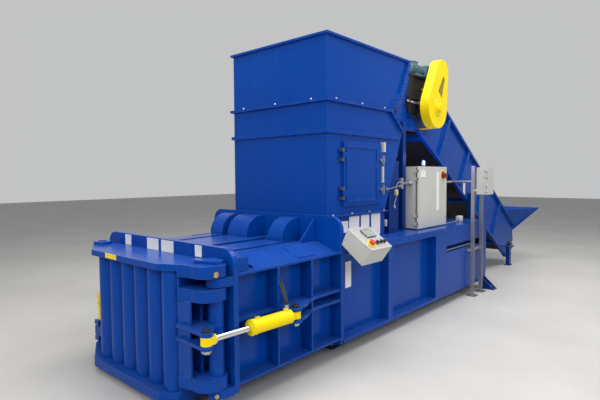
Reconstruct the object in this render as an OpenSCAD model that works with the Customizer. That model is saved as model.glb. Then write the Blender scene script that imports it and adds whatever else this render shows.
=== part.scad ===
// Horizontal closed-door recycling baler with feed hopper, feed conveyor, cabinet and console.
// Millimetres, +Z up. X runs along the machine with the door at the low end, and the near side,
// with the hinge, the door cylinder and the console, is at low Y.

/* [Bale chamber] */
// Length from the throat flange to the face of the door end flange
chamber_len = 1200; // [1000:10:1500]
// Width over the ribs and flanges
flange_w = 1730; // [1600:10:1900]
// Height of the flange bottoms over the floor
flange_z = 100; // [90:5:130]
// Height of the door end flange itself
front_flange_h = 995; // [960:5:1040]
// Height of the throat flange itself
throat_flange_h = 1130; // [1100:5:1200]
// Thickness of the two flanges
flange_t = 40; // [30:1:50]
// Width of the bale
bale_w = 1100; // [1000:10:1160]
// Height of the bale
bale_h = 760; // [700:10:780]
// Depth of the side recesses between the ribs
recess = 120; // [90:5:150]
// Thickness of rib and skin plates
plate_t = 16; // [10:1:20]

/* [Door] */
// Thickness of the door between its back plate and the front of its rim
door_depth = 335; // [300:5:345]
// Height of the top rim over the floor
door_top = 1000; // [980:5:1020]
// Height of the bottom rim over the floor
door_bottom = 50; // [20:1:60]
// Thickness of the rim plates
rim_t = 44; // [30:1:60]
// Thickness of the bottom rim
low_rim_t = 72; // [60:1:80]
// Outer radius of the vertical half-round ribs
door_rib_r = 84; // [60:1:88]
// Number of vertical ribs
door_ribs_n = 6; // [4:1:6]
// Diameter of the hinge pin
hinge_d = 50; // [40:1:60]
// Thickness of the curved hinge arms
arm_t = 80; // [60:1:90]

/* [Door cylinder] */
// Bore barrel outer diameter
barrel_d = 104; // [80:1:110]
// Rod diameter
rod_d = 44; // [30:1:50]
// Barrel length
barrel_len = 365; // [330:5:365]
// Height of the cylinder over the floor
cyl_z = 550; // [500:5:600]

/* [Charge box and rear body] */
// Length of the body behind the throat flange
rear_len = 3450; // [3200:10:3800]
// Height of the deck over the floor
deck_z = 950; // [900:5:1000]
// Depth of the rear body's side panels
rear_recess = 100; // [80:5:130]

/* [Hopper] */
// Width of the hopper across the machine
hopper_w = 1266; // [1180:2:1320]
// Distance of the hopper front from the throat flange
hopper_x = 106; // [90:2:140]
// Length of the hopper at its base
hopper_base_len = 990; // [950:5:1050]
// Height of the joint flange over the floor
hopper_mid = 2270; // [2200:5:2320]
// Height of the hopper top over the floor
hopper_top = 2870; // [2800:5:2950]
// Sheet thickness of the hopper
sheet_t = 6; // [4:1:8]

/* [Conveyor] */
// Slope of the conveyor in degrees
conv_angle = 31; // [29:0.5:33]
// Width of the belt
belt_w = 900; // [800:10:920]
// Head pulley diameter
head_d = 240; // [200:5:260]
// Distance between the head and tail shafts
conv_len = 4050; // [3900:10:4080]

/* [Controls] */
// Electrical cabinet width
cab_w = 750; // [600:10:800]
// Electrical cabinet height
cab_h = 720; // [600:10:800]
// Electrical cabinet depth
cab_d = 210; // [180:5:260]
// Operator console width
console_w = 320; // [316:2:350]

/* [Hidden] */

blue = [0.03, 0.15, 0.55];
dark_blue = [0.02, 0.09, 0.36];
yellow = [0.95, 0.78, 0.05];
grey = [0.62, 0.65, 0.66];
steel = [0.7, 0.7, 0.72];
black = [0.06, 0.06, 0.07];
red = [0.75, 0.05, 0.04];

// Clearances: seat between pieces that nearly touch, and running gap of moving ones
seat = 0.3;
gap = 6;
fine = 48;

// Main lines of the machine, before it is centred on its box
near_y = -flange_w / 2;
front_x = -chamber_len;
inner_y = bale_w / 2;
skin_y = near_y + recess;
floor_t = 25;
rail_h = 90;
floor_z = flange_z + 60;
roof_z = floor_z + bale_h + floor_t;
front_top = flange_z + front_flange_h;
throat_top = flange_z + throat_flange_h;
shelf_z = flange_z + 826;
ledge_z = flange_z + 75;
mid_z = cyl_z;

// Door lines
door_back = front_x - gap;
door_front = front_x - door_depth;
hinge_x = front_x - 80;
hinge_y = near_y + 90;
knuckle_r = 72;
door_near = near_y + 275;
door_far = inner_y - 5;
pin_dx = -165;
pin_dy = -110;
rod_pin = [hinge_x + pin_dx, hinge_y + pin_dy];
base_pin = [front_x + 535, near_y - 70];
cyl_span = norm(rod_pin - base_pin);
cyl_angle = atan2(rod_pin[1] - base_pin[1], rod_pin[0] - base_pin[0]);
lug_half = 34;
keeper_out = 10;
keeper_x = front_x - 110;
keeper_y = flange_w / 2 - 25;
lug_t = 22;
eye_r = 42;
cyl_pin_d = 32;

// Hopper lines
hop_y = hopper_w / 2;
hop_base_z = throat_top - 15;
hop_base_x = hopper_x + hopper_base_len;
hop_mid_x = hopper_x + 1114;
hop_bulge = [hopper_x + 1354, hopper_mid - 200];
hop_bolt_x = hopper_x + 1304;
hop_top_x = hopper_x + 1504;
stiff_z = hopper_mid - 300;

// Access door lines on the near hopper face
acc_x0 = hopper_x + 240;
acc_x1 = acc_x0 + 580;
acc_z0 = hop_base_z + 92;
acc_z1 = acc_z0 + 580;
acc_t = 10;

// Conveyor lines
head_x = 2100;
head_z = 2390;
along = [cos(conv_angle), -sin(conv_angle)];
up = [sin(conv_angle), cos(conv_angle)];
tail_x = head_x + conv_len * along[0];
tail_z = head_z + conv_len * along[1];
side_y = belt_w / 2 + 66;
side_t = 6;
belt_t = 10;
tail_d = 160;
tray_end = tail_x + 450;
tray_spread = 380;
guard_y = -side_y - 240;
guard_w = 110;
motor_x = head_x + 100;
motor_z = head_z + 460;
panel_top = head_z + 380;

// Cabinet, console and strut stand lines
cab_x = 1700;
cab_y = near_y + 150;
cab_z = deck_z + 14;
con_x = 8;
con_back = near_y - seat;
con_lid = con_back - 65;
con_depth = 242;
con_back_z = flange_z + 1030;
con_front_z = flange_z + 870;
con_slope = atan2(con_back_z - con_front_z, con_depth);
strut = 41;
strut_x = 2790;
strut_pitch = 300;
strut_y = near_y - 75;

// Centres of the anchor holes at the front and at the rear, on the far side
front_foot = [flange_t + 130, 620];
rear_foot = [rear_len - 110, -near_y + 110];

// Box of the whole machine, used to centre it
x_low = min(door_front, rod_pin[0] - eye_r);
x_high = tray_end;
y_low = con_lid - con_depth;
y_high = rear_foot[1] + 65;
mid_x = (x_low + x_high) / 2;
mid_y = (y_low + y_high) / 2;

module place() { translate([-mid_x, -mid_y, 0]) children(); }

// A box from its low corner to its high corner
module block(a, b) { translate(a) cube(b - a); }

// An outline in X and Z, stretched along Y from y0 to y1
module side_sheet(points, y0, y1) {
    translate([0, y1, 0]) rotate([90, 0, 0]) linear_extrude(y1 - y0) polygon(points);
}

// An outline in Y and Z, stretched along X from x0 to x1
module cross_sheet(points, x0, x1) {
    translate([x0, 0, 0]) rotate([90, 0, 90]) linear_extrude(x1 - x0) polygon(points);
}

// A rod along X, Y or Z between two places on that axis
module rod_x(x0, x1, y, z, d, n = fine) {
    translate([x0, y, z]) rotate([0, 90, 0]) cylinder(h = x1 - x0, d = d, $fn = n);
}
module rod_y(y0, y1, x, z, d, n = fine) {
    translate([x, y0, z]) rotate([-90, 0, 0]) cylinder(h = y1 - y0, d = d, $fn = n);
}
module rod_z(z0, z1, x, y, d, n = fine) {
    translate([x, y, z0]) cylinder(h = z1 - z0, d = d, $fn = n);
}

// Points of an arc about a centre
function arc(c, r, a0, a1, n) = [for (i = [0:n]) c + r * [cos(a0 + (a1 - a0) * i / n),
    sin(a0 + (a1 - a0) * i / n)]];

// A flange outline in Y and Z with rounded corners
function flange_outline(h, top_r, low_r) = concat(
    arc([near_y + low_r, flange_z + low_r], low_r, 270, 180, 6),
    arc([near_y + top_r, flange_z + h - top_r], top_r, 180, 90, 8),
    arc([-near_y - top_r, flange_z + h - top_r], top_r, 90, 0, 8),
    arc([-near_y - low_r, flange_z + low_r], low_r, 0, -90, 6));

// Bale chamber

module base_rails() {
    color(dark_blue) place() {
        for (s = [-1, 1]) {
            block([front_x + flange_t + seat, s * 420 - 60, 0], [rear_len - 200, s * 420 + 60, rail_h]);
        }
        for (x = [front_x + 300, 400, 1500, 2600]) {
            block([x, -360 + seat, 10], [x + 80, 360 - seat, rail_h - 10]);
        }
    }
}

module chamber_floor() {
    color(dark_blue) place() {
        block([front_x + flange_t + seat, -inner_y, floor_z - floor_t], [-seat, inner_y, floor_z]);
        for (i = [0:4]) {
            x = front_x + flange_t + 60 + i * 240;
            block([x, -inner_y, rail_h + seat], [x + 20, inner_y, floor_z - floor_t]);
        }
    }
}

rib_x = [for (i = [1:2]) front_x + flange_t + i * (chamber_len - flange_t) / 3];

// One side of the chamber: liner, skin, ribs, top shelf, middle plates and bottom ledge
module chamber_side(s) {
    x0 = front_x + flange_t + seat;
    x1 = -seat;
    liner = 20;
    edge = -near_y;
    wall = -skin_y;
    module at_side() { if (s < 0) mirror([0, 1, 0]) children(); else children(); }
    at_side() difference() {
        union() {
            block([x0, inner_y + seat, rail_h + seat], [x1, inner_y + liner, roof_z - floor_t]);
            block([x0, wall - plate_t, rail_h + seat], [x1, wall, shelf_z]);
            block([x0, inner_y + liner, rail_h + seat], [x1, wall - plate_t, rail_h + 20]);
            block([x0, inner_y + liner, shelf_z - plate_t], [x1, edge, roof_z - floor_t - seat]);
            block([x0, roof_half + seat, shelf_z - plate_t], [x1, edge, shelf_z]);
            block([x0, wall, ledge_z - plate_t], [x1, edge, ledge_z]);
            for (x = rib_x) {
                block([x - plate_t / 2, wall, ledge_z], [x + plate_t / 2, edge, shelf_z - plate_t]);
            }
            if (s > 0) block([x0, wall, mid_z - 12], [x1, edge, mid_z + 12]);
            // Sloped cover plate from the roof beams down to the shelf
            cross_sheet([[roof_half + seat, beam_top], [roof_half + seat, beam_top - 20],
                [edge - 82, shelf_z], [edge - 60, shelf_z]], x0 + 120, x1);
            // Bolted patch over the wire access
            cross_sheet([[roof_half + 14, beam_top + 3], [roof_half + 14, beam_top - 8],
                [edge - 74, shelf_z + 2], [edge - 66, shelf_z + 8]], -470, -260);
            block([x0, roof_half + seat, shelf_z], [x0 + 110, edge - 20, shelf_z + 100]);
        }
        // Round notch beside the front block
        translate([x0 + 150, edge - 100, shelf_z - 2])
            cylinder(h = 200, r = 60, $fn = 32);
    }
}

module chamber_side_near() { color(blue) place() chamber_side(-1); }
module chamber_side_far() { color(blue) place() chamber_side(1); }

module door_end_flange() {
    color(blue) place() difference() {
        union() {
            cross_sheet(flange_outline(front_flange_h, 110, 30), front_x, front_x + flange_t);
            // Hinge ears that stand off the flange between the door's arms
            for (z = ear_z) hinge_ear(z);
            // Keeper post of the lock on the far side
            for (z = [lock_z - 90, lock_z + 50])
                block([front_x - 150, -near_y - 60, z], [front_x, -near_y + keeper_out, z + 40]);
        }
        block([front_x - 1, -inner_y, floor_z], [front_x + flange_t + 1, inner_y, roof_z - floor_t]);
        for (z = ear_z) rod_z(z - 1, z + ear_t + 1, hinge_x, hinge_y, hinge_d + 0.1);
        rod_z(lock_z - 100, lock_z + 100, keeper_x, keeper_y, lock_pin_d + 0.1);
    }
}

ear_t = 60;
arm_z = [door_top - arm_t, door_top - 2 * arm_t - 75, flange_z + 72];
ear_z = [arm_z[0] - 8 - ear_t, arm_z[2] - 8 - ear_t];
lock_z = flange_z + 120;
lock_pin_d = 40;

module hinge_ear(z) {
    translate([0, 0, z]) linear_extrude(ear_t) union() {
        translate([hinge_x, hinge_y]) circle(d = 2 * knuckle_r - 8, $fn = fine);
        polygon([[hinge_x, hinge_y - knuckle_r + 4], [front_x, near_y + 4], [front_x, hinge_y + 66],
            [hinge_x, hinge_y + knuckle_r - 4]]);
    }
}

module throat_flange() {
    color(blue) place() difference() {
        cross_sheet(flange_outline(throat_flange_h, 120, 60), 0, flange_t);
        block([-1, -inner_y, floor_z], [flange_t + 1, inner_y, roof_z - floor_t]);
    }
}

roof_half = inner_y + 50;
beam_top = front_top - 95;
// Middle and width of each wire slot between the beams, from the near side
slots = [[-0.4 * bale_w, 60], [-0.09 * bale_w, 100], [0.37 * bale_w, 60]];
beams = [for (i = [0:len(slots)]) [i == 0 ? -roof_half : slots[i - 1][0] + slots[i - 1][1] / 2,
    i == len(slots) ? roof_half : slots[i][0] - slots[i][1] / 2]];

// Roof plate with lengthwise box beams; the wires pass in the gaps between them
module top_beams() {
    x0 = front_x + flange_t + seat;
    wall = 12;
    color(blue) place() {
        for (b = beams) difference() {
            block([x0, b[0], roof_z - floor_t], [-seat, b[1], beam_top]);
            block([x0 + 160, b[0] + wall, roof_z], [-160, b[1] - wall, beam_top - wall]);
        }
        // Tie bars across the slots, under the wires
        for (x = [x0 + 260, -420]) for (q = slots)
            block([x, q[0] - q[1] / 2, roof_z - floor_t], [x + 120, q[0] + q[1] / 2, roof_z]);
    }
}

// Curved boxes and straight fins that brace the throat flange on the beams
module gusset_fins() {
    z0 = beam_top + seat;
    z1 = throat_top - 30;
    x1 = -seat;
    r = z1 - z0;
    curve_line = concat([[x1, z0]], arc([x1 - 40, z0], r, 180, 95, 10), [[x1, z1]]);
    wall = 10;
    color(blue) place() {
        for (b = [[beams[3][0] + 8, beams[3][0] + 190], [beams[2][1] - 300, beams[2][1] - 20],
            [beams[1][0] + 20, beams[1][0] + 200]]) {
            for (y = [b[0], b[1] - wall]) side_sheet(curve_line, y, y + wall);
            side_sheet(concat(arc([x1 - 40, z0], r, 180, 95, 10), [[x1, z1]], [[x1, z1 - wall]],
                arc([x1 - 40, z0], r - wall, 95, 180, 10)), b[0] + wall, b[1] - wall);
        }
        for (y = [beams[1][1] - 22, beams[0][0] + 16]) side_sheet([[x1, z0], [x1 - 230, z0],
            [x1 - 214, z0 + 8], [x1 - 20, z1], [x1, z1]], y, y + 14);
    }
}

// Paired plates along the chamber side that widen into the lug of the door cylinder
module cylinder_lug() {
    edge = near_y;
    x0 = front_x + flange_t + seat;
    // Outer line: out to the lug on one side of the pin, and back in a long smooth bend on the other
    bend_x = base_pin[0] + 49;
    bend_y = base_pin[1] - 18;
    points = concat([[x0, skin_y - seat], [x0, edge + 30], [base_pin[0] - 98, edge + 30]],
        [[base_pin[0] - 48, base_pin[1] + 30]],
        arc(base_pin, 52, 200, 340, 8),
        [for (i = [1:8]) [bend_x + 300 * i / 8, bend_y + (edge + 8 - bend_y) * (1 - cos(180 * i / 8)) / 2]],
        [[-seat, edge + 8], [-seat, skin_y - seat]]);
    color(blue) place() difference() {
        for (z = [mid_z - lug_half - lug_t, mid_z + lug_half]) {
            translate([0, 0, z]) linear_extrude(lug_t) polygon(points);
        }
        for (x = rib_x) block([x - plate_t / 2 - seat, near_y - 1, mid_z - 100],
            [x + plate_t / 2 + seat, skin_y, mid_z + 100]);
        rod_z(mid_z - 100, mid_z + 100, base_pin[0], base_pin[1], cyl_pin_d + 0.1);
    }
}

// Charge box and rear body

post_x = [790, 1850, rear_len - 80];

slot_x = [2170, 3180];
slot_z = 685;
slot_h = 84;

module rear_side(s) {
    wall = -near_y - rear_recess;
    edge = -near_y;
    x0 = flange_t + seat;
    module at_side() { if (s < 0) mirror([0, 1, 0]) children(); else children(); }
    at_side() {
        block([x0, wall - plate_t, rail_h + seat], [rear_len, wall, deck_z - 20 - seat]);
        block([x0, wall - 60, rail_h + seat], [rear_len, wall - plate_t, rail_h + 20]);
        block([x0, wall, deck_z - 70], [rear_len, edge, deck_z - 20 - seat]);
        block([x0, wall, flange_z + 20], [rear_len, edge, flange_z + 50]);
        for (x = post_x) block([x, wall, flange_z + 50], [x + 80, edge, deck_z - 70]);
        // Flush plate over the rear bay with a long round-ended slot, and the shelf behind the slot
        difference() {
            block([post_x[1], edge - 16, flange_z + 50], [rear_len, edge, deck_z - 70]);
            for (x = [slot_x[0], slot_x[1]]) rod_y(edge - 20, edge + 4, x, slot_z, slot_h);
            block([slot_x[0], edge - 20, slot_z - slot_h / 2], [slot_x[1], edge + 4, slot_z + slot_h / 2]);
        }
        block([slot_x[0], wall, slot_z - slot_h / 2 - 22], [slot_x[1] - 40, edge - 26, slot_z - slot_h / 2 - 2]);
        // Liner of the charge box, up to the hopper
        block([x0, inner_y + seat, rail_h + seat], [hop_base_x + 40, inner_y + 20, deck_z - 20 - seat]);
        block([x0, inner_y + 20, deck_z - 60], [hop_base_x + 40, wall - plate_t, deck_z - 40]);
    }
}

module rear_side_near() { color(blue) place() rear_side(-1); }
module rear_side_far() { color(blue) place() rear_side(1); }

module rear_floor() {
    color(dark_blue) place() {
        block([flange_t + seat, -inner_y, floor_z - floor_t], [hop_base_x + 900, inner_y, floor_z]);
        for (x = [300, 900, 1500]) block([x, -inner_y, rail_h + seat], [x + 40, inner_y, floor_z - floor_t]);
        block([hop_base_x + 900 + seat, -700, rail_h + seat], [rear_len - 20, 700, rail_h + 30]);
    }
}

// Deck plate round the hopper mouth, the walls under the hopper, and the bright side ledges
module deck() {
    wall = hop_y - 4;
    color(blue) place() difference() {
        union() {
            block([flange_t + seat, near_y, deck_z - 20], [rear_len, -near_y, deck_z]);
            for (s = [-1, 1]) block([flange_t + seat, s > 0 ? wall - 40 : -wall, deck_z],
                [hop_base_x, s > 0 ? wall : -wall + 40, hop_base_z - 14 - seat]);
            block([flange_t + seat, -wall, deck_z], [flange_t + 30, wall, hop_base_z - 14 - seat]);
            block([hop_base_x - 30, -wall, deck_z], [hop_base_x, wall, hop_base_z - 14 - seat]);
        }
        block([flange_t + 30, -inner_y + 20, deck_z - 30], [hop_base_x - 30, inner_y - 20, hop_base_z]);
    }
}

module rear_bulkhead() {
    wall = -near_y - rear_recess - plate_t - seat;
    color(blue) place() {
        difference() {
            block([rear_len - 40, -wall, rail_h + 30 + seat], [rear_len - 10, wall, deck_z - 20 - seat]);
            rod_x(rear_len - 50, rear_len, 0, ram_z, main_d + 2 * seat);
        }
        for (y = [-340, 320]) block([rear_len - 300, y, rail_h + 30 + seat], [rear_len - 40, y + 20, 420]);
    }
}

// Feet with one anchor hole each: two on the rails under the charge box, two outside the rear corners
module anchor_feet() {
    f = front_foot;
    r = rear_foot;
    color(dark_blue) place() for (s = [0, 1]) mirror([0, s, 0]) {
        difference() {
            union() {
                block([f[0] - 70, 480 + seat, 0], [f[0] + 60, f[1] + 70, 14]);
                cross_sheet([[480 + seat, 14], [f[1] - 20, 14], [480 + seat, 84]], f[0] - 60, f[0] - 44);
            }
            rod_z(-1, 20, f[0], f[1], 22);
        }
        difference() {
            union() {
                block([r[0] - 60, -near_y + seat, 0], [r[0] + 60, r[1] + 65, 14]);
                for (x = [r[0] - 58, r[0] + 42]) cross_sheet([[-near_y + seat, 14], [r[1] + 55, 14],
                    [-near_y + 20, flange_z + 50], [-near_y + seat, flange_z + 50]], x, x + 16);
            }
            rod_z(-1, 20, r[0], r[1], 22);
        }
    }
}

// Hopper

function lower_profile() = [[hopper_x, hop_base_z], [hopper_x, hopper_mid], [hop_mid_x, hopper_mid],
    hop_bulge, [hop_base_x, hop_base_z]];
function upper_profile() = [[hopper_x, hopper_mid], [hopper_x, hopper_top], [hop_top_x, hopper_top],
    [hop_bolt_x, hopper_mid + 200], [hop_mid_x, hopper_mid]];

module lower_hopper() {
    p = lower_profile();
    color(blue) place() difference() {
        union() {
            side_sheet(p, -hop_y, hop_y);
            // Base flange on the throat walls and the joint flange
            block([hopper_x - 20, -hop_y - 36, hop_base_z - 14], [hop_base_x + 20, hop_y + 36, hop_base_z]);
            block([hopper_x - 30, -hop_y - 30, hopper_mid - 14], [hop_mid_x, hop_y + 30, hopper_mid - seat]);
            // Folded stiffener round the front and sides
            block([hopper_x - 22, -hop_y - 22, stiff_z], [hop_bulge[0] - 90, hop_y + 22, stiff_z + 34]);
            // Frame of the access opening on the near side
            block([acc_x0 - 24, -hop_y - 14, acc_z0 - 24], [acc_x1 + 70, -hop_y + 2, acc_z1 + 24]);
            // Doubled flange along the slanted rear edge
            for (y = [-hop_y - 30, hop_y]) side_sheet([[hop_mid_x, hopper_mid - seat],
                hop_bulge + [0, 0], hop_bulge - [40, 8], [hop_mid_x - 36, hopper_mid - 20]], y, y + 30);
        }
        // Inside of the box, open below, above and to the conveyor
        translate([0, 0, 0]) side_sheet([[hopper_x + sheet_t, hop_base_z - 30],
            [hopper_x + sheet_t, hopper_mid + 10], [hop_mid_x + 10, hopper_mid + 10],
            [hop_bulge[0] + 60, hop_bulge[1]], [hop_bulge[0] - sheet_t, hop_bulge[1]],
            [hop_base_x - sheet_t, hop_base_z], [hop_base_x - sheet_t, hop_base_z - 30]],
            -hop_y + sheet_t, hop_y - sheet_t);
        block([acc_x0, -hop_y - 40, acc_z0], [acc_x1, -hop_y + 30, acc_z1]);
    }
}

module upper_hopper() {
    color(blue) place() difference() {
        union() {
            side_sheet(upper_profile(), -hop_y, hop_y);
            block([hopper_x - 30, -hop_y - 30, hopper_mid], [hop_mid_x, hop_y + 30, hopper_mid + 12]);
            // Outward lip round the top
            block([hopper_x - 24, -hop_y - 24, hopper_top - 22], [hop_top_x, hop_y + 24, hopper_top]);
            for (y = [-hop_y - 30, hop_y]) side_sheet([[hop_mid_x, hopper_mid],
                [hop_bolt_x, hopper_mid + 200], [hop_top_x, hopper_top], [hop_top_x - 40, hopper_top],
                [hop_bolt_x - 36, hopper_mid + 210], [hop_mid_x - 36, hopper_mid + 14]], y, y + 30);
        }
        side_sheet([[hopper_x + sheet_t, hopper_mid - 10], [hopper_x + sheet_t, hopper_top + 10],
            [hop_top_x + 40, hopper_top + 10], [hop_bolt_x + 30, hopper_mid + 200],
            [hop_mid_x + 30, hopper_mid - 10]], -hop_y + sheet_t, hop_y - sheet_t);
    }
}

// A bolt head with its washer, standing on a flange whose top is at z
module bolt_up(x, y, z, d = 18) {
    rod_z(z + seat, z + 4, x, y, d * 1.5, 16);
    rod_z(z + 4, z + 14, x, y, d, 6);
}

module hopper_bolts() {
    color(steel) place() {
        for (y = [-460, 0, 460]) bolt_up(hopper_x - 15, y, hopper_mid + 12);
        for (x = [hopper_x + 120, hopper_x + 540, hopper_x + 960]) for (s = [-1, 1])
            bolt_up(x, s * (hop_y + 15), hopper_mid + 12);
        for (x = [hopper_x + 60, hopper_x + 360, hopper_x + 660, hopper_x + 940]) for (s = [-1, 1])
            bolt_up(x, s * (hop_y + 20), hop_base_z);
    }
}

// Access door

acc_y = -hop_y - 14;
acc_hinge_x = acc_x0 - 30;
acc_hinge_y = acc_y - 14;

module access_door() {
    color(blue) place() {
        block([acc_x0 - 12, acc_y - seat - acc_t, acc_z0 - 14], [acc_x1 + 60, acc_y - seat, acc_z1 + 14]);
        for (z = [acc_z0 + 110, acc_z1 - 110]) {
            difference() {
                union() {
                    rod_z(z - 28, z + 28, acc_hinge_x, acc_hinge_y, 24, 24);
                    block([acc_hinge_x + 1, acc_hinge_y - 4, z - 28],
                        [acc_x0 + 40, acc_y - seat - acc_t + 1, z + 28]);
                }
                rod_z(z - 29, z + 29, acc_hinge_x, acc_hinge_y, 12.1, 24);
            }
        }
        // Raised frame on the door sheet
        for (x = [acc_x0 + 20, acc_x1 - 40]) block([x, acc_y - acc_t - 8, acc_z0 + 20],
            [x + 20, acc_y - acc_t - seat, acc_z1 - 20]);
        for (z = [acc_z0 + 20, acc_z1 - 40]) block([acc_x0 + 40, acc_y - acc_t - 8, z],
            [acc_x1 - 40, acc_y - acc_t - seat, z + 20]);
    }
}

module access_hinges() {
    color(steel) place() for (z = [acc_z0 + 110, acc_z1 - 110]) {
        rod_z(z - 62, z + 62, acc_hinge_x, acc_hinge_y, 12, 24);
        for (e = [-60, 30]) {
            block([acc_hinge_x - 40, acc_hinge_y + 3, z + e], [acc_hinge_x + 3, -hop_y - seat, z + e + 30]);
            rod_z(z + e, z + e + 30, acc_hinge_x, acc_hinge_y, 24, 24);
        }
    }
}

latch_x = acc_x1 + 36;
latch_upper_z = acc_z1 - 150;
latch_lower_z = acc_z0 + 130;

// A turn latch: round boss with its handle bar and nut
module turn_latch(z) {
    rod_y(acc_y - acc_t - 30, acc_y - acc_t - seat, latch_x, z, 44, 32);
    block([latch_x - 9, acc_y - acc_t - 48, z - 50], [latch_x + 9, acc_y - acc_t - 30, z + 50]);
    rod_y(acc_y - acc_t - 58, acc_y - acc_t - 48, latch_x, z, 20, 6);
}

module access_latch_upper() { color(steel) place() turn_latch(latch_upper_z); }
module access_latch_lower() { color(steel) place() turn_latch(latch_lower_z); }

module interlock_switch() {
    color(grey) place() {
        block([acc_x1 + 84, -hop_y - 44, acc_z1 - 60], [acc_x1 + 116, -hop_y - seat, acc_z1 + 40]);
        block([acc_x1 + 76, -hop_y - 34, latch_lower_z + 70], [acc_x1 + 100, -hop_y - seat, latch_upper_z - 60]);
    }
}

// Conveyor

function conv_pt(s, h) = [head_x, head_z] + s * along + h * up;

skirt_h = 400;
drop_h = 290;

module conveyor_side(y0, y1) {
    side_sheet([conv_pt(60, -drop_h), [hop_bulge[0] + 30, hop_bulge[1] + 40],
        [hop_top_x + 24, hopper_top - 4], [hop_top_x + 190, panel_top], [head_x + 190, panel_top],
        conv_pt(320, skirt_h),
        conv_pt(conv_len - 60, skirt_h), conv_pt(conv_len + 130, 180), conv_pt(conv_len + 100, -drop_h + 120),
        conv_pt(conv_len - 160, -drop_h)], y0, y1);
}

module conveyor_frame() {
    color(blue) place() difference() {
        union() {
            for (s = [-1, 1]) {
                y0 = s > 0 ? side_y : -side_y - side_t;
                conveyor_side(y0, y0 + side_t);
                // Folded edges along the top and bottom of each side panel
                y1 = s > 0 ? side_y : -side_y - 46;
                side_sheet([conv_pt(320, skirt_h - 34), conv_pt(320, skirt_h),
                    conv_pt(conv_len - 60, skirt_h), conv_pt(conv_len - 60, skirt_h - 34)], y1, y1 + 46);
                side_sheet([conv_pt(60, -drop_h), conv_pt(60, -drop_h + 34),
                    conv_pt(conv_len - 160, -drop_h + 34), conv_pt(conv_len - 160, -drop_h)], y1, y1 + 46);
                for (t = [700, 1500, 2300, 3100]) side_sheet([conv_pt(t, -drop_h + 34),
                    conv_pt(t + 60, -drop_h + 34), conv_pt(t + 60, skirt_h - 34), conv_pt(t, skirt_h - 34)],
                    s > 0 ? side_y + side_t : -side_y - 40, s > 0 ? side_y + 40 : -side_y - side_t);
            }
            for (t = [240, 1100, 1900, 2700, 3400]) side_sheet([conv_pt(t, -drop_h + 40),
                conv_pt(t + 70, -drop_h + 40), conv_pt(t + 70, -drop_h + 90), conv_pt(t, -drop_h + 90)],
                -side_y, side_y);
        }
        for (p = [[head_x, head_z], [tail_x, tail_z]]) rod_y(-side_y - 60, side_y + 60, p[0], p[1], 90);
    }
}

// Height of the inside of the belt over the line through both shafts, s along the conveyor
function belt_h(s) = (head_d + (tail_d - head_d) * s / conv_len) / 2 + seat;

// Slider pan between the belt's two runs, and the skirts that seal the belt's edges
module conveyor_bed() {
    y = side_y - seat;
    s0 = 170;
    s1 = conv_len - 150;
    pan_t = 6;
    color(dark_blue) place() {
        side_sheet([conv_pt(s0, belt_h(s0) - pan_t - seat), conv_pt(s0, belt_h(s0) - seat),
            conv_pt(s1, belt_h(s1) - seat), conv_pt(s1, belt_h(s1) - pan_t - seat)], -y, y);
        for (e = [-1, 1]) {
            low = belt_t + 6;
            side_sheet([conv_pt(s0, belt_h(s0) + low), conv_pt(s0, belt_h(s0) + 150),
                conv_pt(s1, belt_h(s1) + 150), conv_pt(s1, belt_h(s1) + low)],
                e > 0 ? belt_w / 2 - 20 : -belt_w / 2 + 8, e > 0 ? belt_w / 2 - 8 : -belt_w / 2 + 20);
            side_sheet([conv_pt(s0, belt_h(s0) + 138), conv_pt(s0, belt_h(s0) + 150),
                conv_pt(s1, belt_h(s1) + 150), conv_pt(s1, belt_h(s1) + 138)],
                e > 0 ? belt_w / 2 - 8 : -y, e > 0 ? y : -belt_w / 2 + 8);
        }
    }
}

// Cleated belt round both pulleys, as one loop
module conveyor_belt() {
    r1 = (head_d / 2 + seat) / cos(180 / 24 / 2);
    r2 = (tail_d / 2 + seat) / cos(180 / 20 / 2);
    lean = asin((r1 - r2) / conv_len);
    n = 14;
    pitch = (conv_len - 400) / (n - 1);
    module loop(extra) {
        polygon(concat(arc([0, 0], r1 + extra, 270 + lean, 90 - lean, 24),
            arc([conv_len, 0], r2 + extra, 90 - lean, -90 + lean, 20)));
    }
    color(black) place() translate([head_x, 0, head_z]) rotate([90, conv_angle, 0]) {
        translate([0, 0, -belt_w / 2]) linear_extrude(belt_w) difference() {
            loop(belt_t);
            loop(0);
        }
        for (i = [0:n - 1]) translate([200 + i * pitch, belt_h(200 + i * pitch) + belt_t - 2, 30 - belt_w / 2])
            cube([8, 40, belt_w - 60]);
    }
}

module pulley(x, z, d, out, bearing_in) {
    rod_y(-belt_w / 2 + 10, belt_w / 2 - 10, x, z, d);
    rod_y(-side_y - out, side_y + bearing_in, x, z, 50);
}

module head_pulley() {
    color(steel) place() {
        pulley(head_x, head_z, head_d, 280, 90);
        difference() {
            rod_y(guard_y + 30, guard_y + 46, head_x, head_z, 330);
            rod_y(guard_y, guard_y + 60, head_x, head_z, 40);
            for (i = [0:27]) translate([head_x, guard_y + 20, head_z]) rotate([0, i * 360 / 28, 0])
                translate([172, 0, 0]) rotate([-90, 0, 0]) cylinder(h = 40, d = 22, $fn = 8);
        }
    }
}

module tail_pulley() {
    color(steel) place() pulley(tail_x, tail_z, tail_d, 90, 90);
}

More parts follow.
